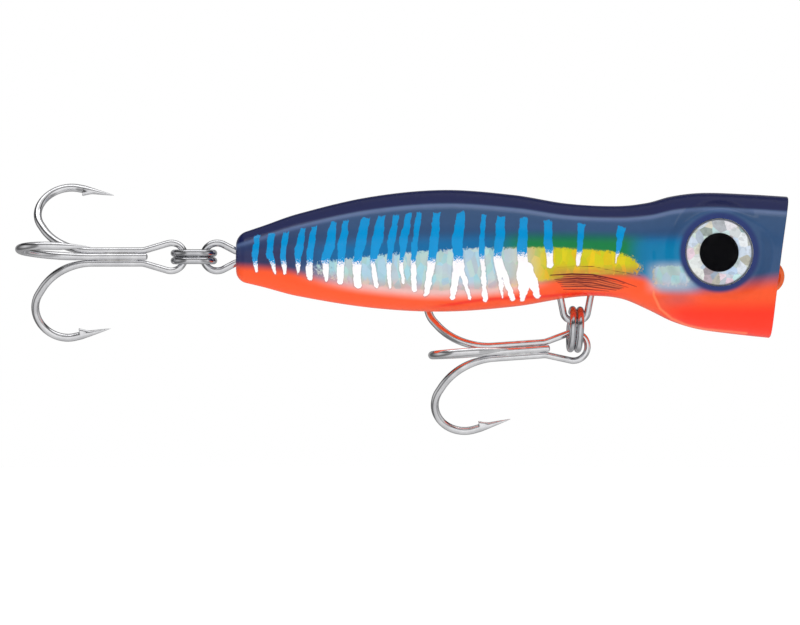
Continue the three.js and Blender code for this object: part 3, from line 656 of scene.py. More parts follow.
# painted highlight where the moulded gill crease catches light
GILL_PAINTED_HIGHLIGHT = (255, 150, 96)
EYE_RING = (34, 50, 104)
BAR_BLUE = (0, 138, 200)
BAR_WHITE = (238, 234, 236)
BAR_SHADOW = (120, 96, 104)
FIN_MAROON = (96, 26, 24)
FIN_BROWN = (190, 92, 52)
CUP_RED = (236, 70, 30)

BLUE_LINE = [(0, 6.5), (0.2, 8.2), (0.4, 9.6), (0.6, 9.8), (0.75, 9.4), (1, 9.0)]
FOIL_LINE = [
    (0, 3.0), (0.08, 3.0), (0.17, 3.7), (0.37, 5.9), (0.48, 6.4), (0.6, 6.3), (0.69, 5.2),
    (0.75, 3.0), (1, 3),
]
BELLY_LINE = [
    (0, 2.5), (0.08, 1.6), (0.17, -1.1), (0.27, -2.9), (0.37, -3.8), (0.48, -3.0), (0.55, -1.3),
    (0.66, 0.4), (0.735, -0.4), (0.77, -3.4), (0.85, -3.2), (0.97, -0.9), (1, -0.8),
]
BAR_TOP_LINE = [
    (0, 9.0), (0.1, 10.8), (0.2, 13.2), (0.34, 15.0), (0.42, 14.8), (0.5, 13.9), (0.62, 12.4),
    (0.7, 11.6),
]
SPLIT_LINE = [(0, 2.9), (0.3, 3.3), (0.4, 3.9), (0.5, 4.9), (0.58, 5.5), (0.73, 4.8)]
RED_LINE_HEIGHT = [(0.3, -8.3), (0.37, -7.0), (0.45, -5.5), (0.55, -4.8), (0.62, -4.1), (0.72, -4.4)]
print("blue starts", smooth_line(BLUE_LINE, share_at(eye_x)).round(1), "mm up beside the eye")

# %% Brush strokes, as chains of (millimetres from the tail, height, half width)
BARS = [
    [(5.2, 10.1, 0.75), (4.7, 5, 0.65), (4.9, 1.3, 0.35)],
    [(8.5, 10.3, 0.75), (8.0, 5.5, 0.8), (9.3, 0.7, 0.3)],
    [(12.1, 11.2, 0.6), (11.2, 5.0, 0.7), (11.6, 0.8, 0.35)],
    [(16.1, 12.2, 0.55), (14.9, 6.0, 0.95), (14.7, 0.6, 0.3)],
    [(18.8, 13.0, 0.6), (17.6, 5.5, 0.8), (17.4, -0.4, 0.7)],
    [(23.2, 13.8, 0.55), (22.2, 7.2, 1.2), (21.2, 3.6, 1.0), (21.4, -1.2, 0.35)],
    [(26.2, 14.0, 0.6), (25.0, 7.0, 0.95), (24.9, 3.4, 0.8), (24.6, -1.3, 0.7)],
    [(31.0, 15.0, 0.8), (29.4, 7.5, 1.25), (28.5, 3.4, 0.9), (28.7, -2.0, 0.9)],
    [(34.6, 15.2, 0.8), (33.2, 8.0, 1.25), (32.2, 3.3, 0.7), (33.2, -2.3, 0.5)],
    [(38.0, 15.6, 0.6), (36.6, 8.0, 0.9), (36.0, 2.6, 0.6), (36.3, -2.6, 0.3)],
    [(40.9, 15.0, 0.7), (39.4, 8.0, 0.95), (38.9, 3.0, 0.5), (39.4, -1.4, 0.3)],
    [(43.1, 15.4, 0.6), (42.2, 8.0, 0.7), (41.6, 3.0, 0.6), (42.0, -3.0, 0.6)],
    [(47.4, 16.0, 0.85), (46.6, 8.0, 1.0), (46.0, 3.4, 0.9), (44.8, -4.2, 0.6)],
    [(53.2, 16.2, 0.8), (52.0, 8.5, 1.25), (52.2, 3.6, 1.15), (51.0, -5.0, 0.6)],
    [(52.6, 3.0, 0.8), (53.4, 0.0, 0.6), (55.0, -5.2, 0.3)],
    [(58.4, 15.8, 0.5), (57.7, 8.0, 0.7), (57.9, 3.0, 0.55), (58.6, -5.4, 0.55)],
    [(62.4, 15.4, 0.9), (61.8, 8.0, 1.15), (61.2, 3.4, 0.8), (62.7, -5.0, 0.2)],
    [(61.5, 4.0, 0.9), (63.2, 0.0, 0.7), (65.0, -5.2, 0.6)],
    [(67.7, 14.8, 0.9), (67.2, 8.0, 1.1), (67.2, 2.0, 1.2), (67.6, -0.5, 1.7), (67.4, -5.4, 0.5)],
    [(68.3, 2.0, 1.2), (69.6, -1.4, 1.2), (70.9, -4.6, 0.6)],
    [(73.2, 14.2, 0.95), (73.2, 7.6, 1.0), (73.7, 2.6, 0.7)],
    [(81.2, 13.4, 1.0), (80.6, 7.0, 0.7), (80.2, 2.6, 0.45)],
    [(90.6, 12.6, 1.1), (89.7, 7.0, 0.65), (89.0, 3.0, 0.15)],
]
FIN_RAYS = [
    [(73.7, 0.2, 0.1), (78.7, 0.5, 0.17), (83.7, 0.35, 0.16), (89.2, -0.8, 0.13), (94.1, -2.5, 0.05)],
    [(74.2, -0.28, 0.05), (79.3, 0.0, 0.09), (84.6, -0.2, 0.09), (91.0, -1.75, 0.04)],
    [(74.7, -0.75, 0.08), (80.0, -0.5, 0.15), (85.2, -0.75, 0.13), (92.2, -2.67, 0.05)],
    [(75.1, -1.15, 0.05), (79.8, -0.92, 0.09), (84.6, -1.15, 0.08), (91.2, -2.8, 0.04)],
    [(75.5, -1.56, 0.08), (79.6, -1.35, 0.14), (83.7, -1.56, 0.12), (90.6, -2.97, 0.05)],
    [(75.9, -2.0, 0.05), (81.0, -1.84, 0.08), (86.0, -2.3, 0.07), (90.2, -3.1, 0.04)],
    [(76.3, -2.45, 0.07), (82.1, -2.3, 0.13), (89.4, -3.28, 0.05)],
    [(76.9, -3.1, 0.07), (82.4, -3.05, 0.1), (87.8, -3.5, 0.04)],
    [(75.2, 2.05, 0.04), (79.5, 2.35, 0.06), (83.7, 2.24, 0.06), (95.0, 0.02, 0.03)],
]
FIN_WEB = [(78.0, -1.2, 1.7), (84.0, -1.3, 1.7), (90.0, -2.4, 0.7)]
print(len(BARS), "bars", len(FIN_RAYS), "fin rays")

# %% Laying one colour over another
GILL_EDGE = (97.0, 98.2)
PATCH_BACK_END = (58, 69)  # the green and yellow patch comes in over this stretch
PATCH_FRONT_END = (98, 90)


def linear(colour):
    """A colour's linear red, green and blue."""
    return np.array(srgb(*colour)[:3])


def over(under, colour, cover):
    """A colour laid over another, as thickly as cover says, from 0 to 1."""
    return under + (linear(colour) - under) * np.clip(cover, 0, 1)[:, None]


print("navy in linear light", linear(NAVY).round(3))


# %% Flank and back
def flank_and_back(s, z, share, patch):
    """Blue that dulls toward the tail, green in the patch, slate above and ahead of it,
    and a navy back with a painted highlight line just under its edge. The navy ends where a
    dark reflection ends, so the back is partly its own navy and partly a painted reflection."""
    _, deep, mid, _ = section(share)
    blue_line = smooth_line(BLUE_LINE, share)
    drop, band = mid + deep - z, 1.5 + 0.13 * deep
    paint = np.tile(linear(DEEP_BLUE), (len(s), 1))
    paint = over(paint, TAIL_DUSK, 1 - smoothstep(s, 8, 26))
    paint = over(paint, GREEN, patch)
    paint = over(paint, SLATE, smoothstep(z, blue_line - 2.4, blue_line + 1.4))
    paint = over(paint, SLATE, smoothstep(s, 106, 112))
    teal = smoothstep(s, 91, 98) * (1 - smoothstep(s, 105, 110)) * smoothstep(z, 9.6, 6.4)
    paint = over(paint, TEAL, teal)
    paint = over(paint, TAIL_DUSK, 0.6 * (1 - smoothstep(s, 2, 30)))
    # painted highlight line just under the navy back's edge
    paint = over(paint, SHEEN, 0.55 * np.exp(-(((drop - band - 0.5) / 0.55) ** 2)))
    # navy down to a set depth under the back: the back's own paint, with its edge a painted dark
    # reflection
    return over(paint, NAVY, smoothstep(drop, band + 0.3, band - 0.3))


# depth of the painted highlight line under the back
print("pale line", round(1.5 + 0.13 * float(section(0.5)[1]) + 0.5, 2), "mm under the back")


# %% Belly and head
def belly_and_head(paint, s, z, share, patch):
    """Orange with a soft edge, rose where it meets the foil, yellow in the patch, a silver
    cheek with a dusky smudge, a scarlet throat, and one red line low along the flank."""
    foil_line, belly_line = smooth_line(FOIL_LINE, share), smooth_line(BELLY_LINE, share)
    soft = 1.3 + 1.0 * smoothstep(s, 100, 118)
    paint = over(paint, ORANGE, smoothstep(z, belly_line + soft, belly_line - soft))
    foil_edge = smoothstep(z, belly_line - 2.4, belly_line + 0.4)
    foil_edge = foil_edge * smoothstep(z, foil_line, foil_line - 2.5)
    paint = over(paint, ROSE, 0.85 * foil_edge * smoothstep(s, 12, 34) * smoothstep(s, 76, 64))
    yellow = patch * smoothstep(s, 94, 86) * smoothstep(z, foil_line + 0.6, foil_line - 1.2)
    paint = over(paint, YELLOW, yellow * smoothstep(z, belly_line - 0.4, belly_line + 1.4))
    cheek = smoothstep(s, 95, 100) * smoothstep(s, 110, 104)
    cheek = 0.75 * cheek * smoothstep(z, 4.2, 1.2) * smoothstep(z, -5.0, -1.5)
    paint = over(paint, CHEEK_SILVER, cheek)
    smudge = np.exp(-(((s - 103.5) / 4.0) ** 2 + ((z + 5.6) / 2.0) ** 2))
    paint = over(paint, CHEEK_DUSK, 0.45 * smudge)
    paint = over(paint, SCARLET, smoothstep(s, 96, 106) * smoothstep(z, -4.5, -9.0))
    along = smoothstep(s, 44, 52) * (1 - smoothstep(s, 84, 94))
    red_line = np.exp(-(((z - smooth_line(RED_LINE_HEIGHT, share)) / 0.4) ** 2))
    return over(paint, RED_LINE, 0.75 * along * red_line)


print("orange up to", round(float(smooth_line(BELLY_LINE, 0.5)), 2), "mm at mid length")


# %% Foil, and the whole plan
def foil_plan(s, z, share):
    """The tint over the foil, silver turning rose, yellow and amber, and the share of foil
    that shows: one long band along the flank and a small patch on the cheek."""
    foil_line, belly_line = smooth_line(FOIL_LINE, share), smooth_line(BELLY_LINE, share)
    behind_gill = 1 - smoothstep(s, *GILL_EDGE)
    tint = np.tile(linear(SILVER), (len(s), 1))
    tint = over(tint, ROSE, 0.8 * smoothstep(z, belly_line + 3.0, belly_line + 0.4))
    tint = over(tint, YELLOW, smoothstep(s, 62, 74) * behind_gill)
    tint = over(tint, AMBER, smoothstep(s, 70, 78) * behind_gill * smoothstep(z, 3.2, 0.6))
    band = smoothstep(z, foil_line + 1.5, foil_line - 1.3)
    band = band * smoothstep(z, belly_line - 1.1, belly_line + 1.9)
    cheek = smoothstep(s, 96, 99) * smoothstep(z, 3.2, 1.6)
    cheek = cheek * smoothstep(z, -4.0, -0.5) * (1 - smoothstep(s, 104, 109))
    return tint, np.maximum(band * smoothstep(s, 10, 30) * smoothstep(s, 98, 91), 0.85 * cheek)


def paint_plan(x, z):
    """The opaque colours, the tint over the foil, and how far the foil shows through.
    Each colour covers what lies under it by soft steps of height z and of place s, both in
    millimetres, s from the tail face."""
    s, share = x - TAIL_X, share_at(x)
    patch = smoothstep(s, *PATCH_BACK_END) * smoothstep(s, *PATCH_FRONT_END)
    opaque = belly_and_head(flank_and_back(s, z, share, patch), s, z, share, patch)
    tint, foil = foil_plan(s, z, share)
    return opaque, tint, foil


height = np.linspace(BELLY[4][1], BACK[4][1], 5)
print("foil from keel to back, mid body", paint_plan(0 * height + TAIL_X + 50, height)[2].round(2))


# %% Store the paint at every vertex
def nearest_stroke(s, z, strokes):
    """Distance to the nearest of many strokes."""
    return np.minimum.reduce([distance_to_stroke(s, z, stroke) for stroke in strokes])


def set_attribute(mesh, name, values):
    """Stores one number, or one colour, at each vertex."""
    if values.ndim == 2:
        colour = np.concatenate([values, np.ones((len(values), 1))], axis=1)
        made = mesh.attributes.new(name, "FLOAT_COLOR", "POINT")
        made.data.foreach_set("color", colour.astype(np.float32).ravel())
    else:
        made = mesh.attributes.new(name, "FLOAT", "POINT")
        made.data.foreach_set("value", values.astype(np.float32))


def paint_shell(piece):
    """Works out the paint at every vertex of a shell and stores it there."""
    mesh = piece.data
    co = np.empty(len(mesh.vertices) * 3, np.float32)
    mesh.vertices.foreach_get("co", co)
    x, _, z = co.reshape(-1, 3).T / MM
    opaque, tint, foil = paint_plan(x, z)
    s = x - TAIL_X
    stored = {
        "opaque": opaque,
        "tint": tint,
        "foil": foil,
        "bars": nearest_stroke(s, z, BARS),
        "above_split": z - smooth_line(SPLIT_LINE, share_at(x)),
        "under_top": smooth_line(BAR_TOP_LINE, share_at(x)) - z,
        "rays": nearest_stroke(s, z, FIN_RAYS),
        "web": distance_to_stroke(s, z, FIN_WEB),
        # distance to the gill crease, for its painted highlight; pushed out of reach above the lower
        # cheek
        "gill": gill_distance(x, z) + 2 * smoothstep(z, -4.0, -1.0),
        "from_eye": np.hypot(x - eye_x, z - eye_z),
    }
    for name, values in stored.items():
        set_attribute(mesh, name, values)
    print(piece.name, "carries", len(stored), "layers of paint")


# %% [markdown]
# ## The paint itself
# The foil shows through where its share is high, broken into small facets that each
# lean their own way, carry their own faint tint and a painted glint that makes them
# lighter or darker. The edge of the airbrushed blue is speckled, because fine drops of
# paint dry on the foil. Over everything lies a thick clear coat, which gives the whole
# body one even gloss.

# %% Foil under the paint
RAINBOW = [(0.0, srgb(255, 240, 242)), (0.25, srgb(236, 242, 255)), (0.45, srgb(222, 248, 252)),
           (0.62, srgb(240, 252, 240)), (0.8, srgb(255, 250, 238)), (1.0, srgb(255, 240, 242))]


def attribute(tree, name, output="Fac"):
    """A number, or with output Color a colour, stored at each vertex."""
    return node(tree, "ShaderNodeAttribute", attribute_name=name).outputs[output]


def pushed(tree, value, cloud, reach):
    """A value moved up and down by a noise about its middle, times a reach."""
    centred = calculated(tree, "SUBTRACT", cloud, 0.5)
    return calculated(tree, "MULTIPLY_ADD", centred, reach, value)


def foil_layer(tree, place):
    """The foil's colour, broken into upright facets that differ in hue and each carry a
    painted glint that makes them lighter or darker, and the facets' random numbers."""
    facet = facet_numbers(tree, stretched(tree, place, (0.9, 0.3, 0.42)), 0.75)
    # painted glint: each facet lighter or darker at random, as if it caught the light at its own angle
    glint = ramp(tree, facet[0], [(0.0, 0.84), (0.5, 0.93), (1.0, 1.0)])
    hue = calculated(tree, "ADD", facet[1], noise(tree, place, 0.12, 2.0))
    rainbow = ramp(tree, calculated(tree, "FRACT", hue, 0.0), RAINBOW)
    colour = mixed(tree, 1.0, attribute(tree, "tint", "Color"), rainbow, "MULTIPLY")
    return mixed(tree, 0.8, colour, glint, "MULTIPLY"), facet


print(len(RAINBOW), "hues of foil")

# %% Brushed bars, fin, gill and eye ring
BAR_HAIR = 1.3  # how far the bristles drag a bar's edge
TOP_HAIR = 2.2
SPLIT_SPECKLE = 5.0
FACE_MARKS = (  # (stored distance, where it fades in, where it is full, cover, colour)
    ("web", 0.25, -0.5, 0.75, FIN_BROWN),
    ("rays", 0.09, -0.05, 1.0, FIN_MAROON),
    # the gill crease's painted highlight
    ("gill", 0.45, 0.05, 0.4, GILL_PAINTED_HIGHLIGHT),
    ("from_eye", 9.8, 8.7, 1.0, EYE_RING),
)


def brushed_bars(tree, place, colour):
    """Bars over a colour, and the share they cover: blue above and white below, with the
    speckled edge of an airbrush between them and a thin shadow beside the white."""
    hair = noise(tree, stretched(tree, place, (1.0, 1.0, 0.35)), 0.8, 4.0, 0.65)
    edge = pushed(tree, attribute(tree, "bars"), hair, BAR_HAIR)
    top = step_at(tree, pushed(tree, attribute(tree, "under_top"), hair, TOP_HAIR), -0.1, 0.3)
    bar = calculated(tree, "MULTIPLY", step_at(tree, edge, 0.06, -0.06), top)
    speck = noise(tree, place, 4.5, 2.0, 0.6)
    split = pushed(tree, attribute(tree, "above_split"), speck, SPLIT_SPECKLE)
    white = step_at(tree, split, 0.35, -0.35)
    shadow = calculated(tree, "MULTIPLY", step_at(tree, edge, 0.3, 0.1), white)
    colour = mixed(tree, calculated(tree, "MULTIPLY", shadow, 0.3), colour, srgb(*BAR_SHADOW))
    blue = step_at(tree, split, -0.35, 0.35)
    return mixed(tree, bar, colour, mixed(tree, blue, srgb(*BAR_WHITE), srgb(*BAR_BLUE))), bar


def face_marks(tree, colour):
    """The fin's web and rays, a painted highlight along the gill crease and the ring round the eye."""
    for name, low, high, cover, shade in FACE_MARKS:
        mark = step_at(tree, attribute(tree, name), low, high)
        colour = mixed(tree, calculated(tree, "MULTIPLY", mark, cover), colour, srgb(*shade))
    return colour


print("marks", [mark[0] for mark in FACE_MARKS])


# %% The finishes of a shell
def body_paint():
    """Foil, airbrushed colours, bars and marks, all under one clear coat."""
    made, tree, principled = material(
        "body_paint", Specular_IOR_Level=0.06, Coat_Weight=0.4, Coat_Roughness=0.1, Coat_IOR=1.45)
    place = object_place(tree)
    foil_colour, facet = foil_layer(tree, place)
    ragged = pushed(tree, attribute(tree, "foil"), noise(tree, place, 1.6, 4.0, 0.7), 1.5)
    foil = step_at(tree, ragged, 0.36, 0.64)
    colour = mixed(tree, foil, attribute(tree, "opaque", "Color"), foil_colour)
    colour, bar = brushed_bars(tree, place, colour)
    mottle = ramp(tree, noise(tree, place, 0.5, 5.0, 0.6), [(0.3, 0.93), (0.7, 1.0)])
    colour = mixed(tree, 1.0, face_marks(tree, colour), mottle, "MULTIPLY")
    tree.links.new(colour, principled.inputs["Base Color"])

    bare = calculated(tree, "MULTIPLY", foil, calculated(tree, "SUBTRACT", 1.0, bar), clamp=True)
    tree.links.new(calculated(tree, "MULTIPLY", bare, 0.35), principled.inputs["Metallic"])
    rough = calculated(tree, "MULTIPLY_ADD", facet[2], 0.14, 0.30)
    tree.links.new(rough, principled.inputs["Roughness"])
    lean = calculated(tree, "MULTIPLY", calculated(tree, "SUBTRACT", facet[0], 0.5), bare)
    raise_surface(tree, principled, lean, 0.35, 0.08)
    raise_surface(tree, principled, noise(tree, place, 0.35, 2.0), 0.12, 0.05, "Coat Normal")
    return made


def cup_paint():
    """The bowl of the cup: the same orange, made a little uneven all over by cloudy patches of a redder
    orange.
    """
    made, tree, principled = material(
        "cup_paint", Roughness=0.4, Specular_IOR_Level=0.1, Coat_Weight=0.4, Coat_Roughness=0.06)
    place = object_place(tree)
    pooled = noise(tree, place, 0.25, 4.0, 0.55)
    colour = ramp(tree, pooled, [(0.3, srgb(*CUP_RED)), (0.7, srgb(*ORANGE))])
    tree.links.new(colour, principled.inputs["Base Color"])
    raise_surface(tree, principled, noise(tree, place, 0.8, 3.0), 0.1, 0.06)
    return made


def bare_plastic():
    """Unpainted moulding: milky, with faint flow marks."""
    made, tree, principled = material("bare_plastic", Roughness=0.45)
    flow = noise(tree, object_place(tree), 0.3, 4.0)
    tree.links.new(ramp(tree, flow, [(0.3, srgb(206, 210, 206)), (0.7, srgb(226, 228, 222))]),
                   principled.inputs["Base Color"])
    return made


shell_materials = [body_paint(), cup_paint(), bare_plastic()]
print("shell finishes", [made.name for made in shell_materials])


# %% Cut the eye sockets and paint both halves
def turned(name, profile, side, materials, sides=96):
    """A piece turned round the eye's axis. The profile is (radius, height above the seat)
    pairs from the axis outward and back to the axis, and each pair sweeps a circle."""
    radius, up = np.array(profile, float).T
    angle = np.linspace(0, 2 * np.pi, sides, endpoint=False)
    x = eye_x + radius[:, None] * np.cos(angle)
    z = eye_z + radius[:, None] * np.sin(angle)
    y = side * (eye_seat + up[:, None] + 0 * angle)
    points = np.stack([x, y, z], axis=-1).reshape(-1, 3)
    return mesh_object(name, points, ring_faces(len(radius), sides), materials)


def cut_away(piece, tool):
    """Takes a tool's shape out of a piece and removes the tool."""
    cut = piece.modifiers.new("cut", "BOOLEAN")
    cut.object, cut.operation, cut.solver = tool, "DIFFERENCE", "EXACT"
    graph = bpy.context.evaluated_depsgraph_get()
    piece.data = bpy.data.meshes.new_from_object(piece.evaluated_get(graph), depsgraph=graph)
    piece.data.name = piece.name
    piece.modifiers.clear()
    bpy.data.objects.remove(tool)


def sharpen(piece, degrees=38):
    """Marks the edges that are really sharp, so that gloss breaks there."""
    piece.data.polygons.foreach_set("use_smooth", np.ones(len(piece.data.polygons), bool))
    piece.data.set_sharp_from_angle(angle=math.radians(degrees))


def disc_profile(radius, low, high):
    """The profile of a plain disc, or of a round cutter."""
    return [(0, low), (radius, low), (radius, high), (0, high)]


SIDES = ((1, "left"), (-1, "right"))
CUTTER_REACH = 6.0
socket_profile = disc_profile(EYE_DIAMETER / 2 + EYE_PLAY, 0, CUTTER_REACH)
for side, word in SIDES:
    shell = half_shell(f"{word}_painted_shell", side, shell_materials)
    cutter = turned("socket_cutter", socket_profile, side, shell_materials)
    slots = np.full(len(cutter.data.polygons), INSIDE, np.int32)
    cutter.data.polygons.foreach_set("material_index", slots)
    cut_away(shell, cutter)
    sharpen(shell)
    paint_shell(shell)
    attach(shell, "body")
    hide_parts(f"{word}_body_shell")
    print(shell.name, len(shell.data.polygons), "faces after the cut")

# %% [markdown]
# ## The eyes
# Each eye is three layers in a socket: a disc of crackled foil, a black pupil printed on
# it, and a dome of clear resin. All three are turned pieces on the eye's axis. The dome
# is nearly clear, and its gloss comes from its own surface.

# %% Finishes of the eye
# painted shade: the foil darkens in a rim at its edge, where it meets the socket wall
FOIL_EDGE_PAINTED_SHADE = (EYE_DIAMETER / 2 - 0.45, EYE_DIAMETER / 2 - 0.15)  # the dark rim fades in here


def foil_disc():
    """Crackled foil: flat facets, each with its own lean, its own faint tint and a painted
    glint that makes it lighter or darker, and painted shade in a dark rim round its edge.
    """
    made, tree, principled = material("eye_foil_facets", Metallic=0.55, Roughness=0.3,
                                      Coat_Weight=0.6, Coat_Roughness=0.1)
    flat = stretched(tree, object_place(tree), (1, 0, 1))
    cell = facet_numbers(tree, flat, 0.42)
    chip = facet_numbers(tree, flat, 1.3)
    tint = ramp(tree, cell[0], [
        (0.0, srgb(236, 238, 242)), (0.2, srgb(190, 214, 240)), (0.38, srgb(238, 242, 244)),
        (0.55, srgb(196, 236, 236)), (0.7, srgb(240, 234, 214)), (0.85, srgb(232, 238, 240)),
        (1.0, srgb(236, 208, 222))])
    # painted glint: each facet lighter or darker at random, as if it caught the light at its own angle;
    # smaller chips get a fainter painted glint
    level = ramp(tree, cell[1], [(0.0, 0.42), (0.35, 0.75), (0.7, 1.0)])
    flake = ramp(tree, chip[1], [(0.0, 0.8), (0.5, 1.0)])
    colour = mixed(tree, 1.0, mixed(tree, 1.0, tint, level, "MULTIPLY"), flake, "MULTIPLY")
    from_centre = node(tree, "ShaderNodeVectorMath", {0: flat, 1: (eye_x, 0, eye_z)},
                       operation="DISTANCE").outputs["Value"]
    # painted shade round the foil's edge
    rim = step_at(tree, from_centre, *FOIL_EDGE_PAINTED_SHADE)
    colour = mixed(tree, rim, colour, srgb(96, 100, 112))
    tree.links.new(colour, principled.inputs["Base Color"])
    raise_surface(tree, principled, cell[2], 0.5, 0.15)
    return made


def pupil_black():
    """Black ink, very slightly uneven."""
    made, tree, principled = material("pupil_black", Roughness=0.5, Specular_IOR_Level=0.02)
    dust = noise(tree, object_place(tree), 0.9, 4.0)
    tree.links.new(ramp(tree, dust, [(0.35, srgb(5, 5, 7)), (0.75, srgb(11, 11, 14))]),
                   principled.inputs["Base Color"])
    return made


def clear_resin():
    """Clear resin: faint in the middle, and whiter where the dome is seen edge-on."""
    made, tree, principled = material("clear_resin", Roughness=0.04, IOR=1.5,
                                      Transmission_Weight=1.0)
    edge = node(tree, "ShaderNodeLayerWeight", {"Blend": 0.35}).outputs["Facing"]
    haze = noise(tree, object_place(tree), 0.5, 3.0)
    tree.links.new(ramp(tree, haze, [(0.3, srgb(214, 222, 226)), (0.7, srgb(232, 238, 240))]),
                   principled.inputs["Base Color"])
    tree.links.new(ramp(tree, edge, [(0.0, 0.02), (0.45, 0.05), (0.8, 0.3), (1.0, 0.7)]),
                   principled.inputs["Alpha"])
    return made


eye_finishes = {"foil": foil_disc(), "pupil": pupil_black(), "lens": clear_resin()}
print("eye finishes", list(eye_finishes))


# %% The eyes' layers
def lens_profile():
    """The dome is a cap of a sphere over a straight edge, with a recess for the pupil."""
    radius, recess = EYE_DIAMETER / 2, PUPIL_THICKNESS + EYE_SEAM
    hole = PUPIL_DIAMETER / 2 + EYE_PLAY
    sphere = (radius**2 + EYE_DOME**2) / (2 * EYE_DOME)
    angle = np.linspace(math.asin(radius / sphere), 0, 25)
    base = EYE_BASE + 2 * EYE_SEAM
    dome = zip(sphere * np.sin(angle), base + EYE_EDGE + EYE_DOME - sphere * (1 - np.cos(angle)))
    return [(0, base + recess), (hole, base + recess), (hole, base), (radius, base), *dome]


on_foil = EYE_BASE + 2 * EYE_SEAM
eye_profiles = {
    "foil": disc_profile(EYE_DIAMETER / 2, EYE_SEAM, EYE_SEAM + EYE_BASE),
    "pupil": disc_profile(PUPIL_DIAMETER / 2, on_foil, on_foil + PUPIL_THICKNESS),
    "lens": lens_profile(),
}
for side, word in SIDES:
    for layer, profile in eye_profiles.items():
        piece = turned(f"{word}_eye_{layer}_turned", profile, side, [eye_finishes[layer]])
        sharpen(piece)
        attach(piece, "body")
        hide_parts(f"{word}_eye_{layer}")

# %% [markdown]
# ## Wire
# Everything metal here is bent wire: the harness through the body, the two rings and the
# hooks. Each is a circle carried along a path. The circle stands square to the path, and
# a side direction given at each point keeps it from twisting.

# %% Carry a circle along a path
WIRE_SIDES = 28
SPOKES = np.linspace(0, 2 * np.pi, WIRE_SIDES, endpoint=False)


def resampled(points, spacing):
    """Points at an even spacing along a chain of points."""
    length = np.concatenate([[0], np.cumsum(np.linalg.norm(np.diff(points, axis=0), axis=1))])
    at = np.linspace(0, length[-1], max(int(length[-1] / spacing), 8) + 1)
    return np.stack([np.interp(at, length, points[:, k]) for k in range(3)], axis=1), at


def tube(points, sides_to, radius):
    """A round bar along points. At each point the ring is centre + radius (side cos + up
    sin), where side is square to the path and up is square to both. The radius may be one
    number for each ring, or one for each point of each ring. Ends close in a middle point."""
    along = np.gradient(points, axis=0)
    along /= np.linalg.norm(along, axis=1)[:, None]
    side = sides_to - along * np.sum(sides_to * along, axis=1)[:, None]
    side /= np.linalg.norm(side, axis=1)[:, None]
    up = np.cross(along, side)
    radius = np.asarray(radius, float).reshape(len(points), -1)
    radius = np.broadcast_to(radius, (len(points), WIRE_SIDES))
    rings = points[:, None] + radius[..., None] * (
        side[:, None] * np.cos(SPOKES)[:, None] + up[:, None] * np.sin(SPOKES)[:, None])
    vertices = np.concatenate([rings.reshape(-1, 3), points[[0, -1]]])
    count = len(points) * WIRE_SIDES
    here = np.arange(WIRE_SIDES)
    following = (here + 1) % WIRE_SIDES
    faces = ring_faces(len(points), WIRE_SIDES).tolist()
    for middle, first in ((count, 0), (count + 1, count - WIRE_SIDES)):
        cap = np.stack([0 * here + middle, first + here, first + following], axis=1)
        faces += cap.tolist()
    return vertices, faces


def rounded_ends(at, radius, soft):
    """A radius that closes in at both ends of a path, as filed wire ends do."""
    from_end = np.minimum(at, at[-1] - at)
    return radius - drawn_in(from_end, soft)


print("wire drawn with", WIRE_SIDES, "sides")


# %% Lines for wire to follow
def rounded_line(corners, step=4.0):
    """Points along a flat line whose corners are (x, z, radius): each corner becomes an arc
    that touches both of its straight sides."""
    flat = [np.array(corner[:2], float) for corner in corners]
    points = [flat[0][None]]
    for before, corner, after, (_, _, radius) in zip(flat, flat[1:], flat[2:], corners[1:-1]):
        back, ahead = before - corner, after - corner
        back, ahead = back / np.linalg.norm(back), ahead / np.linalg.norm(ahead)
        turn = math.pi - math.acos(np.clip(back @ ahead, -1, 1))
        start = corner + back * radius * math.tan(turn / 2)
        sign = math.copysign(1, back[1] * ahead[0] - back[0] * ahead[1])
        centre = start + sign * radius * np.array([back[1], -back[0]])
        angle = sign * np.linspace(0, turn, max(3, int(math.degrees(turn) / step)))
        arm = start - centre
        points.append(centre + np.stack([arm[0] * np.cos(angle) - arm[1] * np.sin(angle),
                                         arm[0] * np.sin(angle) + arm[1] * np.cos(angle)], axis=1))
    points.append(flat[-1][None])
    return np.concatenate(points)


def loop_corners(radius, neck, gap, neck_bend):
    """Corners of a loop round (0, 0) whose two strands leave it toward +x, gap apart."""
    tilt = math.asin(radius / math.hypot(neck, gap / 2)) - math.atan2(gap / 2, neck)
    rise = gap / 2 + (neck + radius) * math.tan(tilt)
    return [(neck, gap / 2, neck_bend), (-radius, rise, radius), (-radius, -rise, radius),
            (neck, -gap / 2, neck_bend)]


def report_fit(piece, *nodes):
    """Prints how far a fine piece's box lies from the box of the parts it stands for."""
    co = np.array([v.co for v in piece.data.vertices])
    low = np.min([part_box(n)[0] for n in nodes], axis=0)
    high = np.max([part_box(n)[1] for n in nodes], axis=0)
    off = max(np.abs(co.min(0) - low).max(), np.abs(co.max(0) - high).max()) / MM
    print(piece.name, "box within", round(float(off), 3), "mm")


# %% Plated and polished wire
def bright_metal(name, light, dark, roughness, grain_scale):
    """Polished wire: fine drawing marks, cloudy tarnish and a slight unevenness."""
    made, tree, principled = material(name, Metallic=1.0)
    place = object_place(tree)
    cloud = noise(tree, place, 0.35, 5.0, 0.6)
    marks = noise(tree, place, grain_scale, 3.0, 0.6)
    colour = ramp(tree, cloud, [(0.3, srgb(*dark)), (0.65, srgb(*light))])
    tree.links.new(colour, principled.inputs["Base Color"])
    worn = calculated(tree, "MULTIPLY_ADD", marks, 0.08, roughness)
    tree.links.new(worn, principled.inputs["Roughness"])
    raise_surface(tree, principled, marks, 0.03, 0.005)
    return made, tree, principled, place


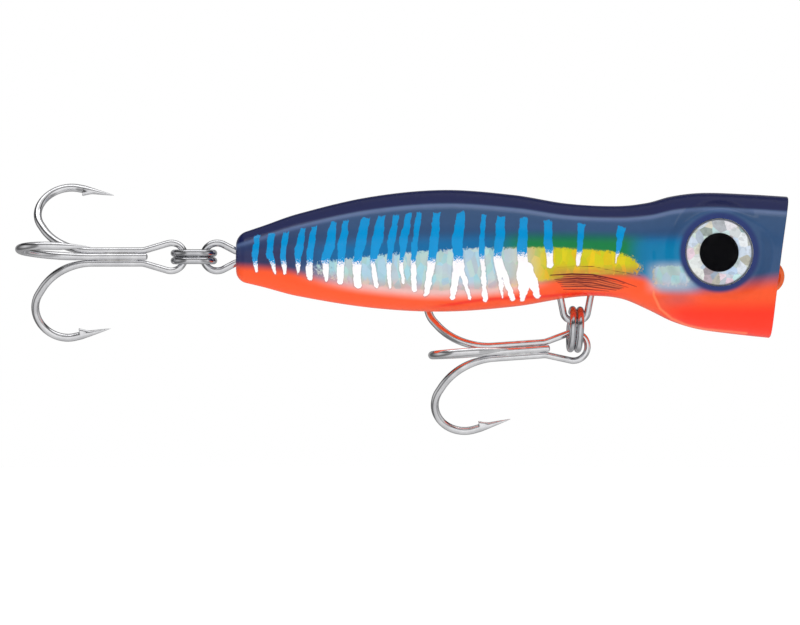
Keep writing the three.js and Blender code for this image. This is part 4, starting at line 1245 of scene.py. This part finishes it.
plated, *_ = bright_metal("bright_plating", (240, 240, 242), (216, 216, 219), 0.12, 2.5)
ring_steel, *_ = bright_metal("polished_ring_steel", (222, 222, 225), (190, 191, 195), 0.12, 3.0)
solder, *_ = bright_metal("hook_braze", (226, 226, 226), (176, 174, 170), 0.24, 1.2)
print("metals", plated.name, ring_steel.name, solder.name)

# %% The harness wire's finish
CUP_PAINT_FADE = (-12.4, -12.0)  # the cup's paint starts on the wire between these x places


def harness_finish():
    """Bright wire, with the paint of the cup carried over the line tie in front."""
    made, tree, principled, place = bright_metal(
        "harness_wire", (230, 230, 233), (204, 205, 209), 0.13, 2.5)
    bare = principled.inputs["Base Color"].links[0].from_socket
    ahead = node(tree, "ShaderNodeSeparateXYZ", {0: place}).outputs["X"]
    edge = calculated(tree, "MULTIPLY_ADD", noise(tree, place, 1.0, 2.0), 1.5, ahead)
    painted = step_at(tree, edge, *CUP_PAINT_FADE)
    tone = ramp(tree, noise(tree, place, 0.6, 3.0),
                [(0.3, srgb(214, 88, 24)), (0.7, srgb(236, 112, 34))])
    tree.links.new(mixed(tree, painted, bare, tone), principled.inputs["Base Color"])
    tree.links.new(calculated(tree, "SUBTRACT", 1.0, painted), principled.inputs["Metallic"])
    principled.inputs["Coat Weight"].default_value = 0.3
    return made


harness_metal = harness_finish()
print("harness finish", harness_metal.name)

# %% The harness wire
WIRE = 1.65
WIRE_END = 0.3  # rounding of a cut end
LOOP_BORE = 4.9
LOOP_NECK = 2.7
NECK_BEND = 1.2
TAIL_LOOP_REACH = 4.5
TAIL_LOOP_RISE = 4.6
TAG_LENGTH = 9.0
TAG_HOOK = 2.4
HANGER_AT = 0.6155
HANGER_DROP = 5.45
HANGER_SPREAD = 7.1
HANGER_FOOT = 5.0
HANGER_BEND = 2.0
HANGER_TOP = 4.0


def harness_path():
    """The wire's centre line in the middle plane: nose tag, line tie, belly hanger, tail loop."""
    neck = lip_at(0, 0) - CUP_DEPTH
    loop = (LOOP_BORE + WIRE) / 2
    strand = LOOP_NECK / 2
    tail_x = TAIL_X - TAIL_LOOP_REACH
    foot_x = TAIL_X + HANGER_AT * BODY_LENGTH
    foot_z = float(smooth_line(BELLY, HANGER_AT)) - HANGER_DROP
    splay = (HANGER_SPREAD - HANGER_FOOT) / (2 * HANGER_DROP)
    top = HANGER_FOOT / 2 + splay * (HANGER_TOP - foot_z)
    nose = [(-x, z, r) for x, z, r in loop_corners(loop, -neck, LOOP_NECK, NECK_BEND)]
    tail = [(tail_x + x, TAIL_LOOP_RISE + z, r)
            for x, z, r in loop_corners(loop, TAIL_LOOP_REACH, LOOP_NECK, NECK_BEND)]
    flat = rounded_line([
        (neck - TAG_LENGTH, strand + TAG_HOOK), (neck - TAG_LENGTH, strand, NECK_BEND), *nose,
        (foot_x + top, HANGER_TOP, HANGER_BEND), (foot_x + HANGER_FOOT / 2, foot_z, HANGER_BEND),
        (foot_x - HANGER_FOOT / 2, foot_z, HANGER_BEND), (foot_x - top, HANGER_TOP, HANGER_BEND), *tail,
        (TAIL_X + TAG_LENGTH, TAIL_LOOP_RISE - strand, NECK_BEND),
        (TAIL_X + TAG_LENGTH, TAIL_LOOP_RISE - strand - TAG_HOOK)])
    return np.stack([flat[:, 0], 0 * flat[:, 0], flat[:, 1]], axis=1)


path, at = resampled(harness_path(), 0.3)
sideways = np.tile([0.0, 1, 0], (len(path), 1))
points, faces = tube(path, sideways, rounded_ends(at, WIRE / 2, WIRE_END))
harness = mesh_object("harness_wire_drawn", points, faces, [harness_metal])
report_fit(harness, "through_wire")
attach(harness, "body")
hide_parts("through_wire")

# %% [markdown]
# ## Split rings
# A split ring is two turns of wire laid side by side, which step over each other at one
# place, so that a hook's eye can be worked round it.

# %% Ring sizes, and turning a piece into place
RING_OUTSIDE = 11.0
RING_WIRE = 1.7
RING_COIL_GAP = 0.06
RING_PLAY = 0.4
RING_JOG = 24.0
RING_CROSSOVER = 90.0
RING_END = 0.35
RING_STEPS = 331
ring_radius = (RING_OUTSIDE - RING_WIRE) / 2


def posed(place, roll=0.0, pitch=0.0, yaw=0.0):
    """A place turned by roll about X, then pitch about Y, then yaw about Z, in degrees."""
    turn = Euler([math.radians(a) for a in (roll, pitch, yaw)], "XYZ").to_matrix().to_4x4()
    return Matrix.Translation(Vector(place)) @ turn


def placed(points, pose):
    """Points turned and moved by a pose."""
    turn = np.array(pose)
    return points @ turn[:3, :3].T + turn[:3, 3]


print("ring centre line radius", ring_radius, "mm")


# %% Both rings
def split_ring(name, pose, body, cad_node):
    """Two turns round the ring's axis; the height steps by one wire at the crossing."""
    degrees = np.linspace(RING_JOG, 720 - RING_JOG, RING_STEPS)
    level = smoothstep(degrees, 360 - RING_JOG, 360 + RING_JOG) - 0.5
    angle = np.radians(degrees + RING_CROSSOVER)
    path = np.stack([ring_radius * np.cos(angle), ring_radius * np.sin(angle),
                     (RING_WIRE + RING_COIL_GAP) * level], axis=1)
    at = np.radians(degrees - degrees[0]) * ring_radius
    upright = np.tile([0.0, 0, 1], (len(path), 1))
    points, faces = tube(path, upright, rounded_ends(at, RING_WIRE / 2, RING_END))
    ring = mesh_object(name, placed(points, pose), faces, [ring_steel])
    report_fit(ring, cad_node)
    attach(ring, body)
    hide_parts(cad_node)


def joint_place(name):
    """A joint's pivot in millimetres."""
    return np.array(joints[name]["pos_m"]) / MM


BELLY_RING_SWING = 32.0
BELLY_RING_LEAN = 4.0
tail_pivot, belly_pivot = joint_place("tail_treble_swing"), joint_place("belly_treble_swing")
belly_hang = posed(joint_place("belly_ring_swing"), roll=BELLY_RING_SWING)
lean = Matrix.Rotation(math.radians(BELLY_RING_LEAN), 4, "Y")
drop = ring_radius - RING_WIRE / 2 - RING_PLAY - WIRE / 2
belly_ring_pose = (belly_hang @ Matrix.Translation((0, 0, -drop)) @ lean
                   @ Matrix.Rotation(math.radians(90), 4, "Y"))
split_ring("tail_ring_coiled", posed(tail_pivot + [ring_radius, 0, 0]), "tail_ring", "tail_split_ring")
split_ring("belly_ring_coiled", belly_ring_pose, "belly_ring", "belly_split_ring")

# %% [markdown]
# ## Treble hooks
# A treble is one wire bent into an eye and two hooks, with a third hook brazed between
# their shanks. A hook's line is drawn by its heading: straight along the shank, a wide
# flare, a short straight, a tight bend, and straight again to the point. The last part
# is ground to a cone, and the barb is a sliver of it cut free and lifted.

# %% Hook sizes
HOOK_WIRE = 1.55
HOOK_BEND_WIRE = 1.9  # swaged thicker round the bend
HOOK_EYE_BORE = 5.1
HOOK_NECK = 6.7
HOOK_SHANK_END = 19.2
HOOK_SHANK_GAP = 3.0
HOOK_THIRD_START = 5.6
HOOK_FLARE = (15.0, 56.0)  # radius, degrees
HOOK_FLARE_LENGTH = 1.4
HOOK_BEND = (7.3, 138.0)
HOOK_POINT_LENGTH = 9.0
HOOK_CONE_LENGTH = 7.4
HOOK_TIP = 0.06
HOOK_CONE_CURVE = 0.9  # under 1, the ground point is a little fuller than a cone
BARB_ROOT = 4.9
BARB_LENGTH = 2.5
BARB_LIFT = 1.0
BARB_CURVE = 1.3
BARB_CUT = 0.25  # the step where the barb stands free
BARB_THINNESS = 9
HOOK_STEP = 0.12
print("hook wire", HOOK_WIRE, "to", HOOK_BEND_WIRE, "mm, eye", HOOK_EYE_BORE, "mm inside")


# %% One hook
def hook_line(start):
    """(distance behind the eye, distance out) along a hook, what is left to its point, and
    its radius, which swells over the flare. The heading at each length is drawn first, and
    the line is the running sum of short steps along that heading."""
    flare, bend = [radius * math.radians(angle) for radius, angle in (HOOK_FLARE, HOOK_BEND)]
    lengths = np.cumsum([0, HOOK_SHANK_END - start, flare, HOOK_FLARE_LENGTH, bend,
                         HOOK_POINT_LENGTH])
    flared, bent = HOOK_FLARE[1], HOOK_FLARE[1] + HOOK_BEND[1]
    turns = np.radians([0, 0, flared, flared, bent, bent])
    at = np.linspace(0, lengths[-1], int(lengths[-1] / HOOK_STEP) + 1)
    heading = np.interp((at[1:] + at[:-1]) / 2, lengths, turns)
    step = at[1] - at[0]
    back = start + np.concatenate([[0], np.cumsum(np.cos(heading) * step)])
    out = np.concatenate([[0], np.cumsum(np.sin(heading) * step)])
    swell = smoothstep(back, HOOK_SHANK_END - 1, HOOK_SHANK_END + HOOK_BEND[0])
    swell = np.where(at > lengths[3], 1.0, swell)
    return back, out, at[-1] - at, (HOOK_WIRE + (HOOK_BEND_WIRE - HOOK_WIRE) * swell) / 2


def hook_radius(from_tip, full, inward):
    """The wire's radius round each ring: round, then a cone to the point, with the barb
    standing off the side that faces the shank. Inward is the cosine from that side."""
    cone = np.clip(from_tip / HOOK_CONE_LENGTH, 0, 1) ** HOOK_CONE_CURVE
    plain = HOOK_TIP + (full - HOOK_TIP) * cone
    rise = np.clip((from_tip - BARB_ROOT) / BARB_LENGTH, 0, 1)
    free = smoothstep(from_tip, BARB_ROOT + BARB_LENGTH + BARB_CUT, BARB_ROOT + BARB_LENGTH)
    lift = BARB_LIFT * rise**BARB_CURVE * free
    return plain[:, None] + lift[:, None] * np.clip(inward, 0, 1)[None] ** BARB_THINNESS


def arm(degrees, shank, start):
    """One hook leaning out at an angle round the shank's axis: its path from the shank to
    the point, the side direction of its flat plane, and its radii."""
    back, out, from_tip, radius = hook_line(start)
    angle = math.radians(degrees)
    path = np.stack([-back, shank[0] + out * math.cos(angle), shank[1] + out * math.sin(angle)], axis=1)
    side = np.tile([0.0, -math.sin(angle), math.cos(angle)], (len(path), 1))
    return path, side, from_tip, radius


print("a hook is", round(float(hook_line(HOOK_NECK + NECK_BEND)[2][0]), 1), "mm of wire")

# %% A pair bent from one wire
EYE_STEP = 0.2
ROUND_EYE = 99.0  # far from any point, so that the eye's wire stays round


def treble_pair_wire():
    """The upper hook from its point to the eye, round the eye, and out to the lower point."""
    start = HOOK_NECK + NECK_BEND
    half_gap = HOOK_SHANK_GAP / 2
    up_path, up_side, up_tip, up_radius = arm(60, (0, half_gap), start)
    low_path, low_side, low_tip, low_radius = arm(-60, (0, -half_gap), start)
    loop = loop_corners((HOOK_EYE_BORE + HOOK_WIRE) / 2, HOOK_NECK, HOOK_SHANK_GAP, 3 * NECK_BEND)
    flat = rounded_line([(start, half_gap), *loop, (start, -half_gap)])
    eye, _ = resampled(np.stack([-flat[:, 0], 0 * flat[:, 0], flat[:, 1]], axis=1), EYE_STEP)
    eye = eye[1:-1]
    middle = np.linspace(0, 1, len(eye))[:, None]
    ease = smoothstep(middle, 0.0, 0.12), smoothstep(middle, 0.88, 1.0)
    plane = np.array([0.0, -1, 0])
    eye_side = up_side[0] * (1 - ease[0]) + plane * (ease[0] - ease[1]) - low_side[0] * ease[1]
    path = np.concatenate([up_path[::-1], eye, low_path])
    side = np.concatenate([up_side[::-1], eye_side, -low_side])
    from_tip = np.concatenate([up_tip[::-1], np.full(len(eye), ROUND_EYE), low_tip])
    radius = np.concatenate([up_radius[::-1], np.full(len(eye), HOOK_WIRE / 2), low_radius])
    return path, side, from_tip, radius


def barbed(path, side, from_tip, radius):
    """Radii round every ring, with the barb turned to the inside of the bend: the side of
    the ring's second direction that faces the shank's axis."""
    up = np.cross(np.gradient(path, axis=0), side)
    faces_axis = np.sum(up * path * [0, 1, 1], axis=1) < 0
    inside, outside = (hook_radius(from_tip, radius, sign * np.sin(SPOKES)) for sign in (1, -1))
    return np.where(faces_axis[:, None], inside, outside)


print("a pair's path has", len(treble_pair_wire()[0]), "points")

# %% Braze between the shanks
BRAZE_GAP = 0.05  # between the third hook's wire and the pair's
BRAZE_ENDS = (1.9, 0.5)  # bare shank behind the third hook's start, and before its flare
BRAZE_OFFSET = -0.22
BRAZE_THICKNESS = 0.52
BRAZE_STEPS = 90


def braze_fillet():
    """Solder in the valleys between the three shanks: a flattened bar whose section swells
    in over its first and last millimetres, with a slow ripple along it."""
    u = np.linspace(0, 1, BRAZE_STEPS)
    length = HOOK_SHANK_END - HOOK_THIRD_START - sum(BRAZE_ENDS)
    x = -(HOOK_THIRD_START + BRAZE_ENDS[0] + u * length)
    swell = np.sqrt(np.clip(np.sin(np.pi * np.clip(u, 0.001, 0.999)), 0, 1)) ** 0.6
    ripple = 1 + 0.06 * np.sin(u * 21) + 0.04 * np.sin(u * 47 + 1)
    y = BRAZE_OFFSET + (swell * ripple)[:, None] * BRAZE_THICKNESS * np.cos(SPOKES)
    z = swell[:, None] * HOOK_SHANK_GAP / 2 * np.sin(SPOKES)
    rings = np.stack([np.broadcast_to(x[:, None], y.shape), y, z], axis=-1)
    count = len(u) * WIRE_SIDES
    caps = [list(range(WIRE_SIDES)), list(range(count - WIRE_SIDES, count))]
    return rings.reshape(-1, 3), ring_faces(len(u), WIRE_SIDES).tolist() + caps


print("braze thickness", BRAZE_THICKNESS, "mm")

# %% Both trebles
THIRD_END = 0.4  # rounding of the third hook's cut end
HOOK_PLAY = 0.1  # between a hook's eye and its ring
BELLY_EYE_DROP = 0.15
TAIL_TREBLE = {"roll": -7.0, "yaw": -7.5}
BELLY_TREBLE = {"roll": -2.0, "pitch": -4.0, "yaw": 0.343}


def treble(word, pose, body):
    """The pair, the third hook and the braze of one treble, in their place."""
    path, side, *taper = treble_pair_wire()
    points, faces = tube(path, side, barbed(path, side, *taper))
    pair = mesh_object(f"{word}_treble_pair_bent", placed(points, pose), faces, [plated])
    report_fit(pair, f"{word}_treble_pair")
    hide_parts(f"{word}_treble_pair")
    out = math.sqrt((HOOK_WIRE + BRAZE_GAP) ** 2 - (HOOK_SHANK_GAP / 2) ** 2)
    path, side, *taper = arm(180, (-out, 0), HOOK_THIRD_START)
    filed = np.clip(drawn_in(path[0, 0] - path[:, 0], THIRD_END), 0, THIRD_END)
    points, faces = tube(path, side, barbed(path, side, *taper) - filed[:, None])
    third = mesh_object(f"{word}_treble_third_bent", placed(points, pose), faces, [plated])
    report_fit(third, f"{word}_treble_third")
    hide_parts(f"{word}_treble_third")
    points, faces = braze_fillet()
    braze = mesh_object(f"{word}_treble_braze", placed(points, pose), faces, [solder])
    for piece in (pair, third, braze):
        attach(piece, body)


eye_shift = HOOK_EYE_BORE / 2 - (2 * RING_WIRE + RING_COIL_GAP) / 2 - HOOK_PLAY
tail_pose = posed(tail_pivot, **TAIL_TREBLE) @ Matrix.Translation((-eye_shift, 0, 0))
belly_pose = posed(belly_pivot, **BELLY_TREBLE) @ Matrix.Translation((0, 0, -BELLY_EYE_DROP))
treble("tail", tail_pose, "tail_treble")
treble("belly", belly_pose, "belly_treble")

# %% [markdown]
# ## What lies inside
# The ballast and the rattle balls are closed in, and their plain meshes are right as they
# are. They get the finish that a cast slug and a rolled ball have.

# %% Lead and rattle balls
def cast_lead():
    """Dull grey lead with dark pits and a chalky bloom."""
    made, tree, principled = material("cast_lead", Metallic=0.7)
    place = object_place(tree)
    bloom = noise(tree, place, 0.4, 6.0, 0.65)
    tree.links.new(ramp(tree, bloom, [(0.25, srgb(84, 88, 94)), (0.6, srgb(122, 126, 132)),
                                      (0.85, srgb(168, 170, 172))]), principled.inputs["Base Color"])
    tree.links.new(ramp(tree, bloom, [(0.3, 0.45), (0.8, 0.8)]), principled.inputs["Roughness"])
    raise_surface(tree, principled, bloom, 0.5, 0.15)
    return made


ball_steel, *_ = bright_metal("rattle_ball_steel", (206, 207, 210), (168, 169, 173), 0.08, 1.5)
lead = cast_lead()
for name, cad in frame["nodes"].items():
    if "weight" in name or "rattle" in name:
        finish = lead if "weight" in name else ball_steel
        cad.data.materials.clear()
        cad.data.materials.append(finish)
        print(name, "is", finish.name)

# %% [markdown]
# ## Sizes, and the end
# The box round the imported parts is printed here. The box round the finished looks should
# match it, because the fine surfaces come from the same formulas.

# %% Sizes
print("cad", [[round(v / MM, 2) for v in corner] for corner in cad_box])
